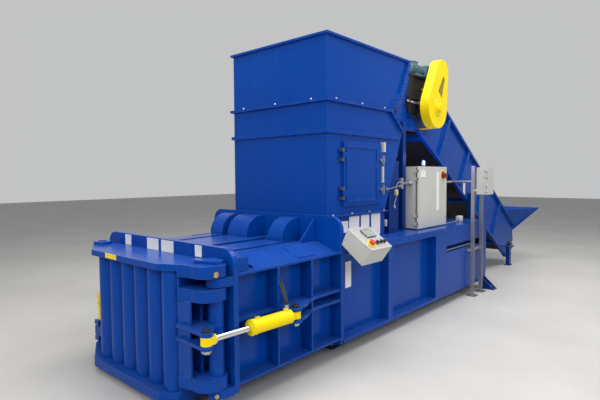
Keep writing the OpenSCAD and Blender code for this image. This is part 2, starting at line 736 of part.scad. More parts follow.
// Flanged bearings on the outside of the side panels, at the head on plates with take-up rails
module conveyor_bearings() {
    out = side_y + side_t + seat;
    h = [head_x, head_z];
    color(black) place() for (s = [0, 1]) mirror([0, s, 0]) difference() {
        union() {
            side_sheet([h + [-400, 10], h + [-310, 230], h + [-260, 375], h + [185, 375], h + [185, -100],
                h + [-170, -120]], -out - 8, -out);
            for (z = [-118, 98]) block([head_x - 330, -out - 26, head_z + z], [head_x + 180, -out - 8, head_z + z + 20]);
            block([head_x - 350, -out - 40, head_z - 70], [head_x - 330, -out, head_z + 118]);
        }
        rod_y(-side_y - 100, side_y + 100, head_x, head_z, 50.1);
    }
    color(black) place() for (p = [[head_x, head_z], [tail_x, tail_z]]) for (s = [-1, 1]) difference() {
        union() {
            y0 = s > 0 ? side_y + side_t + seat : -side_y - side_t - seat - 14;
            block([p[0] - 75, y0, p[1] - 75], [p[0] + 75, y0 + 14, p[1] + 75]);
            y1 = s > 0 ? side_y + side_t + 14 : -side_y - side_t - 44;
            rod_y(y1, y1 + 30, p[0], p[1], 110);
        }
        rod_y(-side_y - 100, side_y + 100, p[0], p[1], 50.1);
    }
}

module gearmotor() {
    plate_z = panel_top + seat;
    y0 = -side_y - 84;
    color([0.36, 0.47, 0.5]) place() {
        difference() {
            union() {
                block([motor_x - 90, y0, plate_z + 16], [motor_x + 90, y0 + 190, motor_z + 66]);
                rod_y(y0 - 24, y0, motor_x, motor_z, 120);
            }
            rod_y(y0 - 30, y0 + 60, motor_x, motor_z, 35.1);
        }
        rod_x(motor_x - 380, motor_x - 90, y0 + 100, motor_z, 130);
        rod_x(motor_x - 420, motor_x - 380, y0 + 100, motor_z, 116);
        block([motor_x - 300, y0 + 60, motor_z + 50], [motor_x - 200, y0 + 140, motor_z + 90]);
        block([motor_x - 330, y0 + 10, plate_z], [motor_x + 110, side_y + side_t, plate_z + 16]);
    }
}

module motor_sprocket() {
    color(steel) place() {
        rod_y(guard_y + 20, -side_y - 30, motor_x, motor_z, 35);
        difference() {
            rod_y(guard_y + 30, guard_y + 46, motor_x, motor_z, 140);
            rod_y(guard_y + 20, guard_y + 60, motor_x, motor_z, 34);
            for (i = [0:11]) translate([motor_x, guard_y + 20, motor_z]) rotate([0, i * 30, 0])
                translate([77, 0, 0]) rotate([-90, 0, 0]) cylinder(h = 40, d = 22, $fn = 8);
        }
    }
}

// Roller chain as one loop just outside the sprocket teeth
module drive_chain() {
    a = [head_x, head_z];
    b = [motor_x, motor_z];
    d = norm(b - a);
    r1 = 166;
    r2 = 71;
    lean = asin((r1 - r2) / d);
    turn = atan2(b[1] - a[1], b[0] - a[0]);
    module loop(extra) {
        polygon(concat(arc([0, 0], r1 + extra, 270 - 90 + 90 + lean, 90 - lean, 14),
            arc([d, 0], r2 + extra, 90 - lean, -90 + lean, 10)));
    }
    color(black) place() translate([head_x, guard_y + 46, head_z]) rotate([90, -turn, 0])
        linear_extrude(14) difference() {
            loop(13);
            loop(1);
        }
}

// Teardrop guard over the chain, with a deep rim and a mesh window
module chain_guard() {
    a = [head_x, head_z];
    b = [motor_x, motor_z];
    low_r = 245;
    module drop(grow) {
        hull() {
            translate(a) circle(r = low_r + grow, $fn = 40);
            translate(b + [30, -20]) circle(r = 150 + grow, $fn = 32);
        }
    }
    color(yellow) place() {
        difference() {
            translate([0, guard_y + guard_w, 0]) rotate([90, 0, 0]) difference() {
                linear_extrude(guard_w) drop(0);
                translate([0, 0, -1]) linear_extrude(guard_w - 5) drop(-6);
                translate([0, 0, guard_w - 10]) linear_extrude(20) polygon([a + [5, 200],
                    a + [105, 120], b + [85, -105], b + [40, -65]]);
            }
            rod_y(guard_y - 10, guard_y + guard_w, head_x, head_z, 62);
        }
        // Stand-offs from the side panel
        rod_y(guard_y + 5, -side_y - side_t - 8 - 2 * seat, head_x + 20, head_z + 245, 30, 24);
        block([head_x - 40, guard_y + guard_w - 20, head_z - low_r], [head_x + 40, -side_y - side_t - seat,
            head_z - low_r + 8]);
    }
}

// Flared loading tray on the folded edges at the tail of the conveyor
module loading_hopper() {
    back = conv_pt(conv_len - 620, skirt_h + seat);
    front = conv_pt(conv_len - 59, skirt_h + seat);
    low = conv_pt(conv_len + 20, 330);
    z_lip = front[1] + 300;
    t = 8;
    module corner(x, y, z) { translate([x, y - t / 2, z]) cube([t, t, t]); }
    color(blue) place() {
        for (s = [-1, 1]) hull() {
            corner(back[0], s * (side_y + 24), back[1]);
            corner(back[0] + 150, s * (side_y + 70), z_lip - 20);
            corner(tray_end - t, s * (side_y + tray_spread), z_lip);
            corner(front[0], s * (side_y + 24), front[1]);
        }
        hull() for (s = [-1, 1]) {
            corner(tray_end - t, s * (side_y + tray_spread), z_lip);
            corner(low[0], s * (side_y + 8), low[1]);
        }
        for (s = [-1, 1]) hull() {
            corner(tray_end - t, s * (side_y + tray_spread), z_lip);
            corner(front[0], s * (side_y + 24), front[1]);
            corner(low[0], s * (side_y + 8), low[1]);
        }
    }
}

// Height of the sloped rear wall of the lower hopper at x
function slant_z(x) = hop_base_z + (x - hop_base_x) * (hop_bulge[1] - hop_base_z) / (hop_bulge[0] - hop_base_x);

module conveyor_legs() {
    x0 = hop_base_x + 104;
    x1 = x0 + 200;
    post_top = slant_z(x0 + 120) - seat;
    color(blue) place() for (s = [-1, 1]) {
        // Post under the sloped rear wall of the hopper
        y0 = s > 0 ? hop_y - 68 : -hop_y + 8;
        side_sheet([[x0, deck_z + seat], [x1, deck_z + seat], [x1, post_top], [x0 + 120, post_top],
            [x0, slant_z(x0) - seat]], y0, y0 + 60);
        // Leg from the deck to the head end of the conveyor
        y2 = s > 0 ? side_y + side_t + seat : -side_y - side_t - seat - 60;
        block([hop_bulge[0] + 110, y2, deck_z + seat], [hop_bulge[0] + 180, y2 + 60, hop_bulge[1] + 130]);
        // Legs at the folded lower edge of the conveyor, behind the body and at the tail
        y1 = s > 0 ? side_y + 46 + seat : -side_y - 106 - seat;
        for (q = [[rear_len + 60, 1320], [tail_x - 300, 330]]) {
            block([q[0], y1, 12], [q[0] + 90, y1 + 60, q[1]]);
            block([q[0] - 30, y1 - 20, 0], [q[0] + 120, y1 + 80, 12]);
        }
    }
}

// Electrical cabinet

cab_hinge = [cab_x - 10, cab_y + 8];
cab_hinge_z = [cab_z + 70, cab_z + cab_h - 130];

module cabinet_body() {
    front = cab_y + 22 + seat;
    color(grey) place() {
        difference() {
            block([cab_x, front, cab_z], [cab_x + cab_w, cab_y + cab_d, cab_z + cab_h]);
            block([cab_x + 14, front - 2, cab_z + 14],
                [cab_x + cab_w - 14, cab_y + cab_d - 14, cab_z + cab_h - 14]);
        }
        block([cab_x + 40, cab_y + cab_d - 30, cab_z + 60],
            [cab_x + cab_w - 40, cab_y + cab_d - 14, cab_z + cab_h - 60]);
        for (x = [cab_x + 40, cab_x + cab_w - 120]) block([x, cab_y + 40, deck_z + seat],
            [x + 80, cab_y + cab_d, cab_z]);
        rod_x(cab_x - 26, cab_x, cab_y + 90, cab_z + cab_h - 190, 44, 24);
        // Fixed hinge knuckles with their pins
        for (z = cab_hinge_z) {
            rod_z(z - 30, z + 90, cab_hinge[0], cab_hinge[1], 6, 16);
            for (k = [z - 30, z + 60 + seat]) {
                rod_z(k, k + 30 - seat, cab_hinge[0], cab_hinge[1], 14, 24);
                block([cab_x - 16, cab_hinge[1], k], [cab_x - 4, front + 30, k + 30 - seat]);
                block([cab_x - 5, front, k], [cab_x, front + 30, k + 30 - seat]);
            }
        }
    }
}

module cabinet_door() {
    color(grey) place() {
        difference() {
            block([cab_x - 2, cab_y, cab_z - 2], [cab_x + cab_w + 2, cab_y + 22, cab_z + cab_h + 2]);
            block([cab_x + 4, cab_y + 4, cab_z + 4], [cab_x + cab_w - 4, cab_y + 30, cab_z + cab_h - 4]);
            rod_y(cab_y - 10, cab_y + 30, hand_x, hand_z, 20.1, 24);
        }
        for (z = cab_hinge_z) difference() {
            union() {
                rod_z(z, z + 60, cab_hinge[0], cab_hinge[1], 14, 24);
                block([cab_hinge[0], cab_hinge[1] - 7, z], [cab_x, cab_hinge[1] - 1, z + 60]);
            }
            rod_z(z - 1, z + 61, cab_hinge[0], cab_hinge[1], 6.1, 16);
        }
    }
}

hand_x = cab_x + cab_w - 110;
hand_z = cab_z + cab_h - 100;

module disconnect_handle() {
    color(red) place() {
        rod_y(cab_y - 8, cab_y - seat, hand_x, hand_z, 96, 32);
        rod_y(cab_y - 8, cab_y + 60, hand_x, hand_z, 20, 24);
        rod_y(cab_y - 34, cab_y - 8, hand_x, hand_z, 46, 32);
        block([hand_x - 13, cab_y - 56, hand_z - 46], [hand_x + 13, cab_y - 34, hand_z + 20]);
    }
}

module beacon() {
    x = cab_x + 355;
    y = cab_y + 120;
    z = cab_z + cab_h + seat;
    color([0.35, 0.45, 0.95]) place() {
        rod_z(z, z + 20, x, y, 50, 24);
        rod_z(z + 20, z + 60, x, y, 40, 24);
        translate([x, y, z + 60]) sphere(d = 40, $fn = 24);
    }
}

// Operator console

// Cross section: a flat box, tilted so that its lid slopes down towards the operator
function con_outline() = [[con_lid, con_back_z], [con_lid - con_depth, con_front_z],
    [con_lid - con_depth + 100, con_front_z - 140], [con_back - 1, con_back_z - 138]];
function con_inside() = let(o = con_outline(), c = (o[0] + o[1] + o[2] + o[3]) / 4)
    [for (p = o) c + 0.955 * (p - c)];

module console_body() {
    o = con_outline();
    color(grey) place() {
        difference() {
            cross_sheet(o, con_x, con_x + console_w);
            cross_sheet(con_inside(), con_x + 3, con_x + console_w - 3);
            translate([con_x + 8, con_lid, con_back_z]) rotate([-180 + con_slope, 0, 0])
                translate([0, 8, -20]) cube([console_w - 16, panel_len - 16, 28]);
        }
        // Bracket from the body's side up behind the box
        cross_sheet([[con_back, con_back_z - 240], [con_back, con_back_z - 20], o[0] + [2.5, -9],
            o[3] + [-1.9, 0.4], o[3] + [-61, -46], [con_back - 8, con_back_z - 240]], con_x + 110, con_x + 210);
    }
}

panel_len = norm([con_depth, con_back_z - con_front_z]);

// A place on the sloped panel: across from the left edge, down from the back edge, height over it
module on_panel(across, down, height) {
    translate([con_x + across, con_lid, con_back_z]) rotate([con_slope, 0, 0])
        translate([0, -down, height]) children();
}

module console_panel() {
    color(steel) place() {
        difference() {
            on_panel(8.5, panel_len - 8.5, -3) cube([console_w - 17, panel_len - 17, 3]);
            for (p = button_places) on_panel(p[0], p[1], -30) cylinder(h = 60, d = 22.1, $fn = 32);
        }
        color(black) difference() {
            on_panel(118, 144, seat) cube([135, 96, 12]);
            on_panel(128, 134, 9) cube([115, 76, 10]);
        }
        for (p = [[18, 18], [console_w - 18, 18], [18, panel_len - 18], [console_w - 18, panel_len - 18]])
            on_panel(p[0], p[1], seat) cylinder(h = 4, d = 12, $fn = 16);
        on_panel(button_places[0][0], button_places[0][1], seat) difference() {
            cylinder(h = 4, d = 92, $fn = 32);
            translate([0, 0, -1]) cylinder(h = 8, d = 36, $fn = 32);
        }
    }
}

button_places = [[83, 220], [168, 219], [228, 219], [283, 219]];

module emergency_stop() {
    color(red) place() {
        on_panel(button_places[0][0], button_places[0][1], -22) cylinder(h = 40, d = 22, $fn = 32);
        on_panel(button_places[0][0], button_places[0][1], 18) cylinder(h = 14, d1 = 56, d2 = 52, $fn = 32);
    }
}

module selector(i) {
    color(black) place() {
        on_panel(button_places[i][0], button_places[i][1], -20) cylinder(h = 32, d = 22, $fn = 32);
        on_panel(button_places[i][0], button_places[i][1], seat) difference() {
            cylinder(h = 8, d = 32, $fn = 32);
            translate([0, 0, -1]) cylinder(h = 20, d = 21, $fn = 32);
        }
        on_panel(button_places[i][0] - 5, button_places[i][1] + 14, 12) cube([10, 28, 14]);
    }
}

module selector_left() { selector(1); }
module selector_middle() { selector(2); }
module selector_right() { selector(3); }

// Strut stand with its small box, and the conduits

// Open strut channel, lips towards low Y, standing at x from z0 to z1
module strut_post(x, z0, z1) {
    translate([x, strut_y, z0]) linear_extrude(z1 - z0) difference() {
        square(strut);
        translate([2.5, 2.5]) square(strut - 5);
        translate([9.5, -1]) square([strut - 19, 6]);
    }
}

module strut_stand() {
    color(steel) place() {
        for (p = [[strut_x, 1700], [strut_x + strut_pitch, 1400]]) {
            strut_post(p[0], 8, p[1]);
            block([p[0] - 40, strut_y - 40, 0], [p[0] + 80, strut_y + 80, 8]);
        }
        block([strut_x - 60, strut_y + strut, 590], [strut_x + strut_pitch + 80, near_y - seat, 620]);
    }
}

box_x = strut_x + 70;
box_w = 190;
box_h = 350;
box_d = 140;
box_z = 1330;
box_hinge = [box_x - 8, strut_y - box_d - seat - 6];
box_hinge_z = [box_z + 50, box_z + box_h - 110];

module junction_box() {
    y0 = strut_y - box_d;
    color(grey) place() {
        difference() {
            block([box_x, y0, box_z], [box_x + box_w, strut_y - seat, box_z + box_h]);
            block([box_x + 6, y0 - 10, box_z + 6], [box_x + box_w - 6, strut_y - 6, box_z + box_h - 6]);
        }
        for (z = box_hinge_z) {
            rod_z(z - 20, z + 80, box_hinge[0], box_hinge[1], 6, 16);
            for (k = [z - 20, z + 60 + seat]) {
                rod_z(k, k + 20 - seat, box_hinge[0], box_hinge[1], 12, 24);
                block([box_x - 14, box_hinge[1], k], [box_x - 3, y0 + 30, k + 20 - seat]);
                block([box_x - 4, y0 + 2, k], [box_x, y0 + 30, k + 20 - seat]);
            }
        }
        // Back bar clamped on both posts
        block([strut_x, strut_y - 4, box_z + 40], [strut_x + strut_pitch + strut, strut_y - seat, box_z + 70]);
    }
}

module junction_door() {
    y0 = strut_y - box_d - seat;
    color(grey) place() {
        block([box_x - 1, y0 - 12, box_z - 1], [box_x + box_w + 1, y0, box_z + box_h + 1]);
        for (z = box_hinge_z) difference() {
            union() {
                rod_z(z, z + 60, box_hinge[0], box_hinge[1], 12, 24);
                block([box_hinge[0], box_hinge[1] - 6, z], [box_x, box_hinge[1] - 1, z + 60]);
            }
            rod_z(z - 1, z + 61, box_hinge[0], box_hinge[1], 6.1, 16);
        }
    }
}

module conduits() {
    z = cab_z + cab_h - 190;
    y = cab_y + 90;
    x_end = strut_x + strut / 2;
    color(steel) place() {
        rod_x(cab_x + cab_w + seat, x_end + 15, y, z, 30, 20);
        rod_y(strut_y + strut + seat, y - 15 - seat, x_end, z, 30, 20);
        // Pipe along the shelf behind the rear slot
        rod_x(slot_x[0] + 10, slot_x[1] - 60, near_y + 58, slot_z - slot_h / 2 - 2 + seat + 15, 30, 20);
        x_box = hop_base_x + 304 + seat;
        rod_x(x_box + 50, cab_x - 26 - seat, y, z, 26, 20);
        block([x_box, y - 34, z - 60], [x_box + 50, y + 34, z + 60]);
    }
}

// Main ram and hydraulics

ram_z = floor_z + bale_h / 2;
main_d = 240;
main_rod = 150;
platen_x = 1180;
platen_t = 520;

module main_cylinder() {
    color(blue) place() difference() {
        union() {
            rod_x(1820, rear_len + 40, 0, ram_z, main_d);
            rod_x(1780, 1820, 0, ram_z, main_d + 60);
            rod_x(rear_len - 10 + seat, rear_len + 40, 0, ram_z, main_d + 90);
        }
        rod_x(1770, rear_len - 60, 0, ram_z, main_rod + 0.1);
    }
}

module main_ram() {
    z0 = floor_z + seat;
    color(steel) place() {
        difference() {
            block([platen_x, -inner_y + 8, z0], [platen_x + platen_t, inner_y - 8, deck_z - 40]);
            for (s = [-1, 1]) block([platen_x + 40, s > 0 ? 130 : -480, z0 + 60],
                [platen_x + platen_t + 1, s > 0 ? 480 : -130, deck_z - 100]);
            // Slots for the tie wires in the platen face
            for (z = [z0 + 130, z0 + 300, z0 + 470, z0 + 640])
                block([platen_x - 1, -inner_y, z], [platen_x + 30, inner_y, z + 24]);
        }
        rod_x(platen_x + platen_t - 60, rear_len - 90, 0, ram_z, main_rod);
    }
}

module hydraulic_unit() {
    top = deck_z + 260;
    color(dark_blue) place() {
        block([2520, -300, deck_z + seat], [3260, 420, top]);
        rod_x(2600, 2930, 40, top + 130, 230);
        rod_x(2930, 3020, 40, top + 130, 130);
        block([2650, -60, top], [2880, 140, top + 40]);
        block([3060, -40, top], [3160, 80, top + 90]);
    }
}

// Door

// Outline of the rim plates seen from above
function rim_outline() = [[door_back, door_near], [door_front + 75, door_near],
    [door_front, door_near + 125], [door_front, door_far - 60],
    [door_front + 60, door_far + 60], [keeper_x - 70, -near_y - 70], [keeper_x - 40, -near_y - 30],
    [door_back - 40, -near_y - 20], [door_back, -near_y - 60]];

module door_frame() {
    z0 = door_bottom + low_rim_t;
    z1 = door_top - rim_t;
    color(blue) place() difference() {
        union() {
            translate([0, 0, door_bottom]) linear_extrude(low_rim_t) polygon(rim_outline());
            translate([0, 0, z1]) linear_extrude(rim_t) polygon(rim_outline());
            block([door_back - 30, door_near + 20, z0], [door_back, door_far, z1]);
            block([door_front + 90, door_near, z0], [door_back, door_near + 20, z1]);
            block([door_front + 90, door_far - 20, z0], [door_back - 30, door_far, z1]);
            // Ear for the lock pin and the curved cap over the far corner
            block([keeper_x - 40, door_far, lock_z - 40], [keeper_x + 40, keeper_y + 30, lock_z + 40]);
            translate([0, 0, door_top]) linear_extrude(24) difference() {
                polygon([[keeper_x - 50, keeper_y - 190], [keeper_x - 76, keeper_y - 70],
                    [keeper_x - 20, keeper_y - 12], [keeper_x + 50, keeper_y - 50],
                    [keeper_x + 50, keeper_y - 150]]);
                polygon([[keeper_x - 34, keeper_y - 160], [keeper_x - 50, keeper_y - 76],
                    [keeper_x - 14, keeper_y - 40], [keeper_x + 26, keeper_y - 66],
                    [keeper_x + 26, keeper_y - 134]]);
            }
        }
        rod_z(lock_z - 60, lock_z + 60, keeper_x, keeper_y, lock_pin_d + 0.1);
    }
}

door_rib_pitch = (door_far - door_near - 2 * door_rib_r - 52) / (door_ribs_n - 1);

module door_ribs() {
    z0 = door_bottom + low_rim_t + seat;
    z1 = door_top - rim_t - seat;
    x = door_front + door_rib_r + 44;
    color(blue) place() for (i = [0:door_ribs_n - 1]) {
        y = door_near + 26 + door_rib_r + i * door_rib_pitch;
        translate([0, 0, z0]) linear_extrude(z1 - z0) difference() {
            union() {
                translate([x, y]) circle(r = door_rib_r, $fn = fine);
                translate([x, y - door_rib_r]) square([door_back - 30 - seat - x, 2 * door_rib_r]);
            }
            translate([x, y]) circle(r = door_rib_r - 12, $fn = fine);
            translate([x, y - door_rib_r + 12]) square([door_back - x, 2 * door_rib_r - 24]);
        }
    }
}

// Outline of a hinge arm: out of the door end, round in a wide curve and back to the hinge pin
function arm_outline() = concat([[door_back - 8, door_near - seat], [door_front + 75, door_near - seat]],
    arc([hinge_x - 40, hinge_y + 40], 114, 170, 262, 10),
    arc([hinge_x, hinge_y], knuckle_r, 278, 360, 8),
    [[hinge_x + knuckle_r, hinge_y + 40], [door_back - 8, door_near - 60]]);

module door_arms() {
    lug_far = 26;
    color(blue) place() difference() {
        union() {
            for (z = arm_z) translate([0, 0, z]) linear_extrude(arm_t) polygon(arm_outline());
            // Cap plate over the top hinge
            translate([0, 0, door_top]) linear_extrude(26) hull() {
                translate([hinge_x, hinge_y]) circle(r = 52, $fn = 32);
                translate([hinge_x - 60, hinge_y + 110]) circle(r = 30, $fn = 32);
                translate([hinge_x + 30, hinge_y + 60]) circle(r = 30, $fn = 32);
            }
            // Vertical plates and the hinge tube between the arms
            block([door_front + 90, door_near - 120, arm_z[2] + arm_t], [door_front + 106, door_near - seat, arm_z[1]]);
            block([hinge_x - 60, hinge_y + 86, arm_z[2] + arm_t], [hinge_x - 44, door_near - 20, arm_z[1]]);
            rod_z(arm_z[2] + arm_t, arm_z[1], hinge_x, hinge_y, 2 * knuckle_r - 40);
            // Lug plates that hold the rod end
            for (z = [cyl_z - lug_half - lug_t, cyl_z + lug_half]) translate([0, 0, z])
                linear_extrude(lug_t) polygon(concat([[hinge_x + 20, hinge_y + 30],
                    [hinge_x, door_near - seat], [door_front + 60, door_near - seat], [door_front + 60, door_near - 60]],
                    arc(rod_pin, eye_r, 150, 330, 10), [[hinge_x - 106, hinge_y - 104], [hinge_x - 100, hinge_y - 72],
                    [hinge_x - 20, hinge_y - 46]]));
        }
        rod_z(0, door_top + 1, hinge_x, hinge_y, hinge_d + 0.1);
        for (z = [cyl_z - lug_half - lug_t - 1, cyl_z + lug_half - 1])
            rod_z(z, z + lug_t + 2, rod_pin[0], rod_pin[1], cyl_pin_d + 0.1);
    }
    // Pin heads and nuts of the rod end pin, above and below the lugs
    color(steel) place() {
        rod_z(cyl_z + lug_half + 0.2, cyl_z + lug_half + lug_t + 24, rod_pin[0], rod_pin[1], cyl_pin_d);
        rod_z(cyl_z + lug_half + lug_t, cyl_z + lug_half + lug_t + 16, rod_pin[0], rod_pin[1], 56, 6);
        rod_z(cyl_z - lug_half - lug_t - 30, cyl_z - lug_half - 0.2, rod_pin[0], rod_pin[1], cyl_pin_d);
        rod_z(cyl_z - lug_half - lug_t - 22, cyl_z - lug_half - lug_t, rod_pin[0], rod_pin[1], 52, 6);
    }
}

module hinge_pin() {
    color(steel) place() {
        rod_z(ear_z[1] - 20, door_top - seat, hinge_x, hinge_y, hinge_d);
        rod_z(ear_z[1] - 26, ear_z[1] - seat, hinge_x, hinge_y, hinge_d + 20, 32);
    }
}

// Door cylinder

module along_cylinder() {
    translate([base_pin[0], base_pin[1], cyl_z]) rotate([0, 0, cyl_angle]) children();
}

// Start of the barrel from the base pin, and the inner end of the rod when it is out
b0 = 62;
rod_in = b0 + 20 + 280;

module door_cylinder_barrel() {
    color(yellow) place() along_cylinder() {
        difference() {
            union() {
                rod_x(b0, b0 + barrel_len, 0, 0, barrel_d);
                rod_x(b0 + barrel_len - 40, b0 + barrel_len + 6, 0, 0, barrel_d + 6);
                block([0, -30, -28], [b0 + 6, 30, 28]);
                rod_z(-28, 28, 0, 0, 78);
                for (x = [b0 + 40, b0 + barrel_len - 60]) rod_z(0, barrel_d / 2 + 16, x, 0, 34, 24);
            }
            rod_z(-60, 60, 0, 0, cyl_pin_d + 0.1);
            rod_x(b0 + 20, b0 + barrel_len + 10, 0, 0, rod_d + 0.1);
        }
    }
    // Base pin with its head and nut, held in the lug plates
    color(steel) place() along_cylinder() {
        rod_z(-lug_half - lug_t - 28, lug_half + lug_t + 8, 0, 0, cyl_pin_d);
        rod_z(lug_half + lug_t + 0.5, lug_half + lug_t + 16, 0, 0, 56, 6);
        rod_z(-lug_half - lug_t - 22, -lug_half - lug_t - 0.5, 0, 0, 52, 6);
    }
}

module door_cylinder_rod() {
    color(steel) place() along_cylinder() {
        rod_x(rod_in, cyl_span - 30, 0, 0, rod_d);
    }
    color(yellow) place() along_cylinder() {
        difference() {
            block([cyl_span - 52, -28, -26], [cyl_span - 10, 28, 26]);
            rod_z(-30, 30, cyl_span, 0, cyl_pin_d + 0.1);
        }
        rod_x(cyl_span - 66, cyl_span - 52, 0, 0, 62);
        difference() {
            rod_z(-28, 28, cyl_span, 0, 76);
            rod_z(-30, 30, cyl_span, 0, cyl_pin_d + 0.1);
        }
    }
}

// A tube swept along points, as one closed solid
function unit(v) = v / norm(v);
function sweep_dir(p, i) = unit(p[min(i + 1, len(p) - 1)] - p[max(i - 1, 0)]);
module hose(p, d, sides = 8) {
    n = len(p);
    rings = [for (i = [0:n - 1]) let(t = sweep_dir(p, i), u = unit(cross(t, [0.31, 0.95, 0.1])), w = cross(t, u))
        for (k = [0:sides - 1]) p[i] + d / 2 * (u * cos(k * 360 / sides) + w * sin(k * 360 / sides))];
    faces = concat([[for (k = [0:sides - 1]) k]],
        [for (i = [0:n - 2]) for (k = [0:sides - 1]) [i * sides + (k + 1) % sides, i * sides + k,
            (i + 1) * sides + k, (i + 1) * sides + (k + 1) % sides]],
        [[for (k = [sides - 1:-1:0]) (n - 1) * sides + k]]);
    polyhedron(rings, faces);
}

// Smooth points between two ends with their tangents
function curve(a, ta, b, tb, n) = [for (i = [0:n]) let(t = i / n, s = 1 - t)
    s * s * s * a + 3 * s * s * t * (a + ta) + 3 * s * t * t * (b - tb) + t * t * t * b];

module cylinder_hoses() {
    c = cos(cyl_angle);
    s = sin(cyl_angle);
    function port(x) = [base_pin[0] + x * c, base_pin[1] + x * s, cyl_z + barrel_d / 2 + 16 + seat];
    color(black) place() for (k = [0, 1]) {
        a = k == 0 ? port(92) : port(92 + 0);
        start = a + [k == 0 ? -9 : 9, 0, 0];
        top = [base_pin[0] - 80 + 24 * k, near_y + 52, shelf_z - plate_t - seat];
        hose(concat(curve(start + [0, 0, 20], [0, 0, 90], top - [0, 0, 6], [0, 0, 110], 16), [top]), 15);
        hose([start, start + [0, 0, 22]], 18);
    }
}

// Lock on the far side: a pin, shown raised, that drops through the keeper and the door's ear
module door_lock() {
    color(yellow) place() {
        rod_z(lock_z + 52, lock_z + 300, keeper_x, keeper_y, lock_pin_d);
        rod_z(lock_z + 300, lock_z + 324, keeper_x, keeper_y, 60, 6);
        rod_z(lock_z + 234, lock_z + 248, keeper_x, keeper_y, 58, 32);
    }
}

base_rails();
chamber_floor();
chamber_side_near();
chamber_side_far();
door_end_flange();
throat_flange();
top_beams();
gusset_fins();
cylinder_lug();
rear_side_near();
rear_side_far();
rear_floor();
deck();
rear_bulkhead();
anchor_feet();
lower_hopper();
upper_hopper();
hopper_bolts();
access_door();
access_hinges();
access_latch_upper();
access_latch_lower();
interlock_switch();
conveyor_frame();
conveyor_bed();
conveyor_belt();
head_pulley();
tail_pulley();
conveyor_bearings();
gearmotor();
motor_sprocket();
drive_chain();
chain_guard();
loading_hopper();
conveyor_legs();
cabinet_body();
cabinet_door();
disconnect_handle();
beacon();
console_body();
console_panel();
emergency_stop();
selector_left();
selector_middle();
selector_right();
strut_stand();
junction_box();
junction_door();
conduits();
main_cylinder();
main_ram();
hydraulic_unit();
door_frame();
door_ribs();
door_arms();
hinge_pin();
door_cylinder_barrel();
door_cylinder_rod();
cylinder_hoses();
door_lock();
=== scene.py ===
import math

import bpy
from mathutils import Matrix, Vector


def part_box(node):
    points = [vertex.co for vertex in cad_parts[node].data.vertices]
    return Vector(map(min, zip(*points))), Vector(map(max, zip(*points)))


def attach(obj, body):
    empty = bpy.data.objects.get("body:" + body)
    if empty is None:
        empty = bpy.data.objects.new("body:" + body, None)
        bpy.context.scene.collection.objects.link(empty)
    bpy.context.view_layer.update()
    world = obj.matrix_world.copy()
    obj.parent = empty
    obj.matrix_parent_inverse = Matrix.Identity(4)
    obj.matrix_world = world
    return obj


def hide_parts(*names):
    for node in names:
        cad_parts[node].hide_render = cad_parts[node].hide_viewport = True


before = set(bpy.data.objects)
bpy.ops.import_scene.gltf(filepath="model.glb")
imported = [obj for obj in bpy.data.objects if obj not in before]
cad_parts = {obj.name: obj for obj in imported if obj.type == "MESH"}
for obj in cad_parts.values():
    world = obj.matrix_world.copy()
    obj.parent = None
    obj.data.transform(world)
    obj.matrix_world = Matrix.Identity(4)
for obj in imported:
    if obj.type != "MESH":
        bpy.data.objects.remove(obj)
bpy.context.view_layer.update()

# The machine's own lines
# Places below are in millimetres from the front face of the throat flange, at the middle of the
# machine and on the floor. They are called drawing places.
throat_low, throat_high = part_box("throat_flange")
machine_origin = Vector((throat_low[0], (throat_low[1] + throat_high[1]) / 2, 0))


def spot(x, y, z):
    """A place on the machine in metres, from a drawing place."""
    return machine_origin + Vector((x, y, z)) / 1000


# Camera
# The eye stands 1.58 m over the floor, off the corner of the bale door, and looks along the near
# side. The lens is the one that fits the flanges, the hopper and the conveyor together.
eye = (-3199, -3226, 1579)
yaw = 0.724
pitch = -0.051
roll = -0.006
picture_width = 600
lens_in_pixels = 464.1
sensor_width = 36
forward = Vector((math.cos(yaw) * math.cos(pitch), math.sin(yaw) * math.cos(pitch), math.sin(pitch)))
level_right = Vector((math.sin(yaw), -math.cos(yaw), 0))
level_up = level_right.cross(forward)
camera_right = level_right * math.cos(roll) + level_up * math.sin(roll)
camera_up = level_up * math.cos(roll) - level_right * math.sin(roll)
camera_data = bpy.data.cameras.new("view_camera")
camera_data.sensor_width = sensor_width
camera_data.lens = sensor_width * lens_in_pixels / picture_width
camera_data.clip_end = 100
camera = bpy.data.objects.new("view_camera", camera_data)
bpy.context.scene.collection.objects.link(camera)
turn = Matrix((camera_right, camera_up, -forward)).transposed().to_4x4()
camera.matrix_world = Matrix.Translation(spot(*eye)) @ turn
bpy.context.scene.camera = camera
bpy.context.scene.view_settings.view_transform = "Standard"

# Materials in general
# The finishes have a slight unevenness of tone, and most have a normal that softens the edges.


def new_material(name, metallic=0.0, roughness=0.5, specular=0.5, coat=0.0, coat_roughness=0.05):
    """A material with its shader, ready for its colour and bump."""
    material = bpy.data.materials.new(name)
    material.use_nodes = True
    shader = material.node_tree.nodes["Principled BSDF"]
    shader.inputs["Metallic"].default_value = metallic
    shader.inputs["Roughness"].default_value = roughness
    shader.inputs["Specular IOR Level"].default_value = specular
    shader.inputs["Coat Weight"].default_value = coat
    shader.inputs["Coat Roughness"].default_value = coat_roughness
    return material


def node_in(tree, kind, **values):
    """A node of that kind with its input values set."""
    node = tree.nodes.new(kind)
    for name, value in values.items():
        node.inputs[name.replace("_", " ")].default_value = value
    return node


def shade_colour(tree, source, low, high):
    """The base colour runs with source between two tones, each given as (position, colour)."""
    tone = node_in(tree, "ShaderNodeValToRGB")
    for element, (position, colour) in zip(tone.color_ramp.elements, (low, high)):
        element.position = position
        element.color = (*colour, 1)
    tree.links.new(source, tone.inputs["Fac"])
    tree.links.new(tone.outputs["Color"], tree.nodes["Principled BSDF"].inputs["Base Color"])


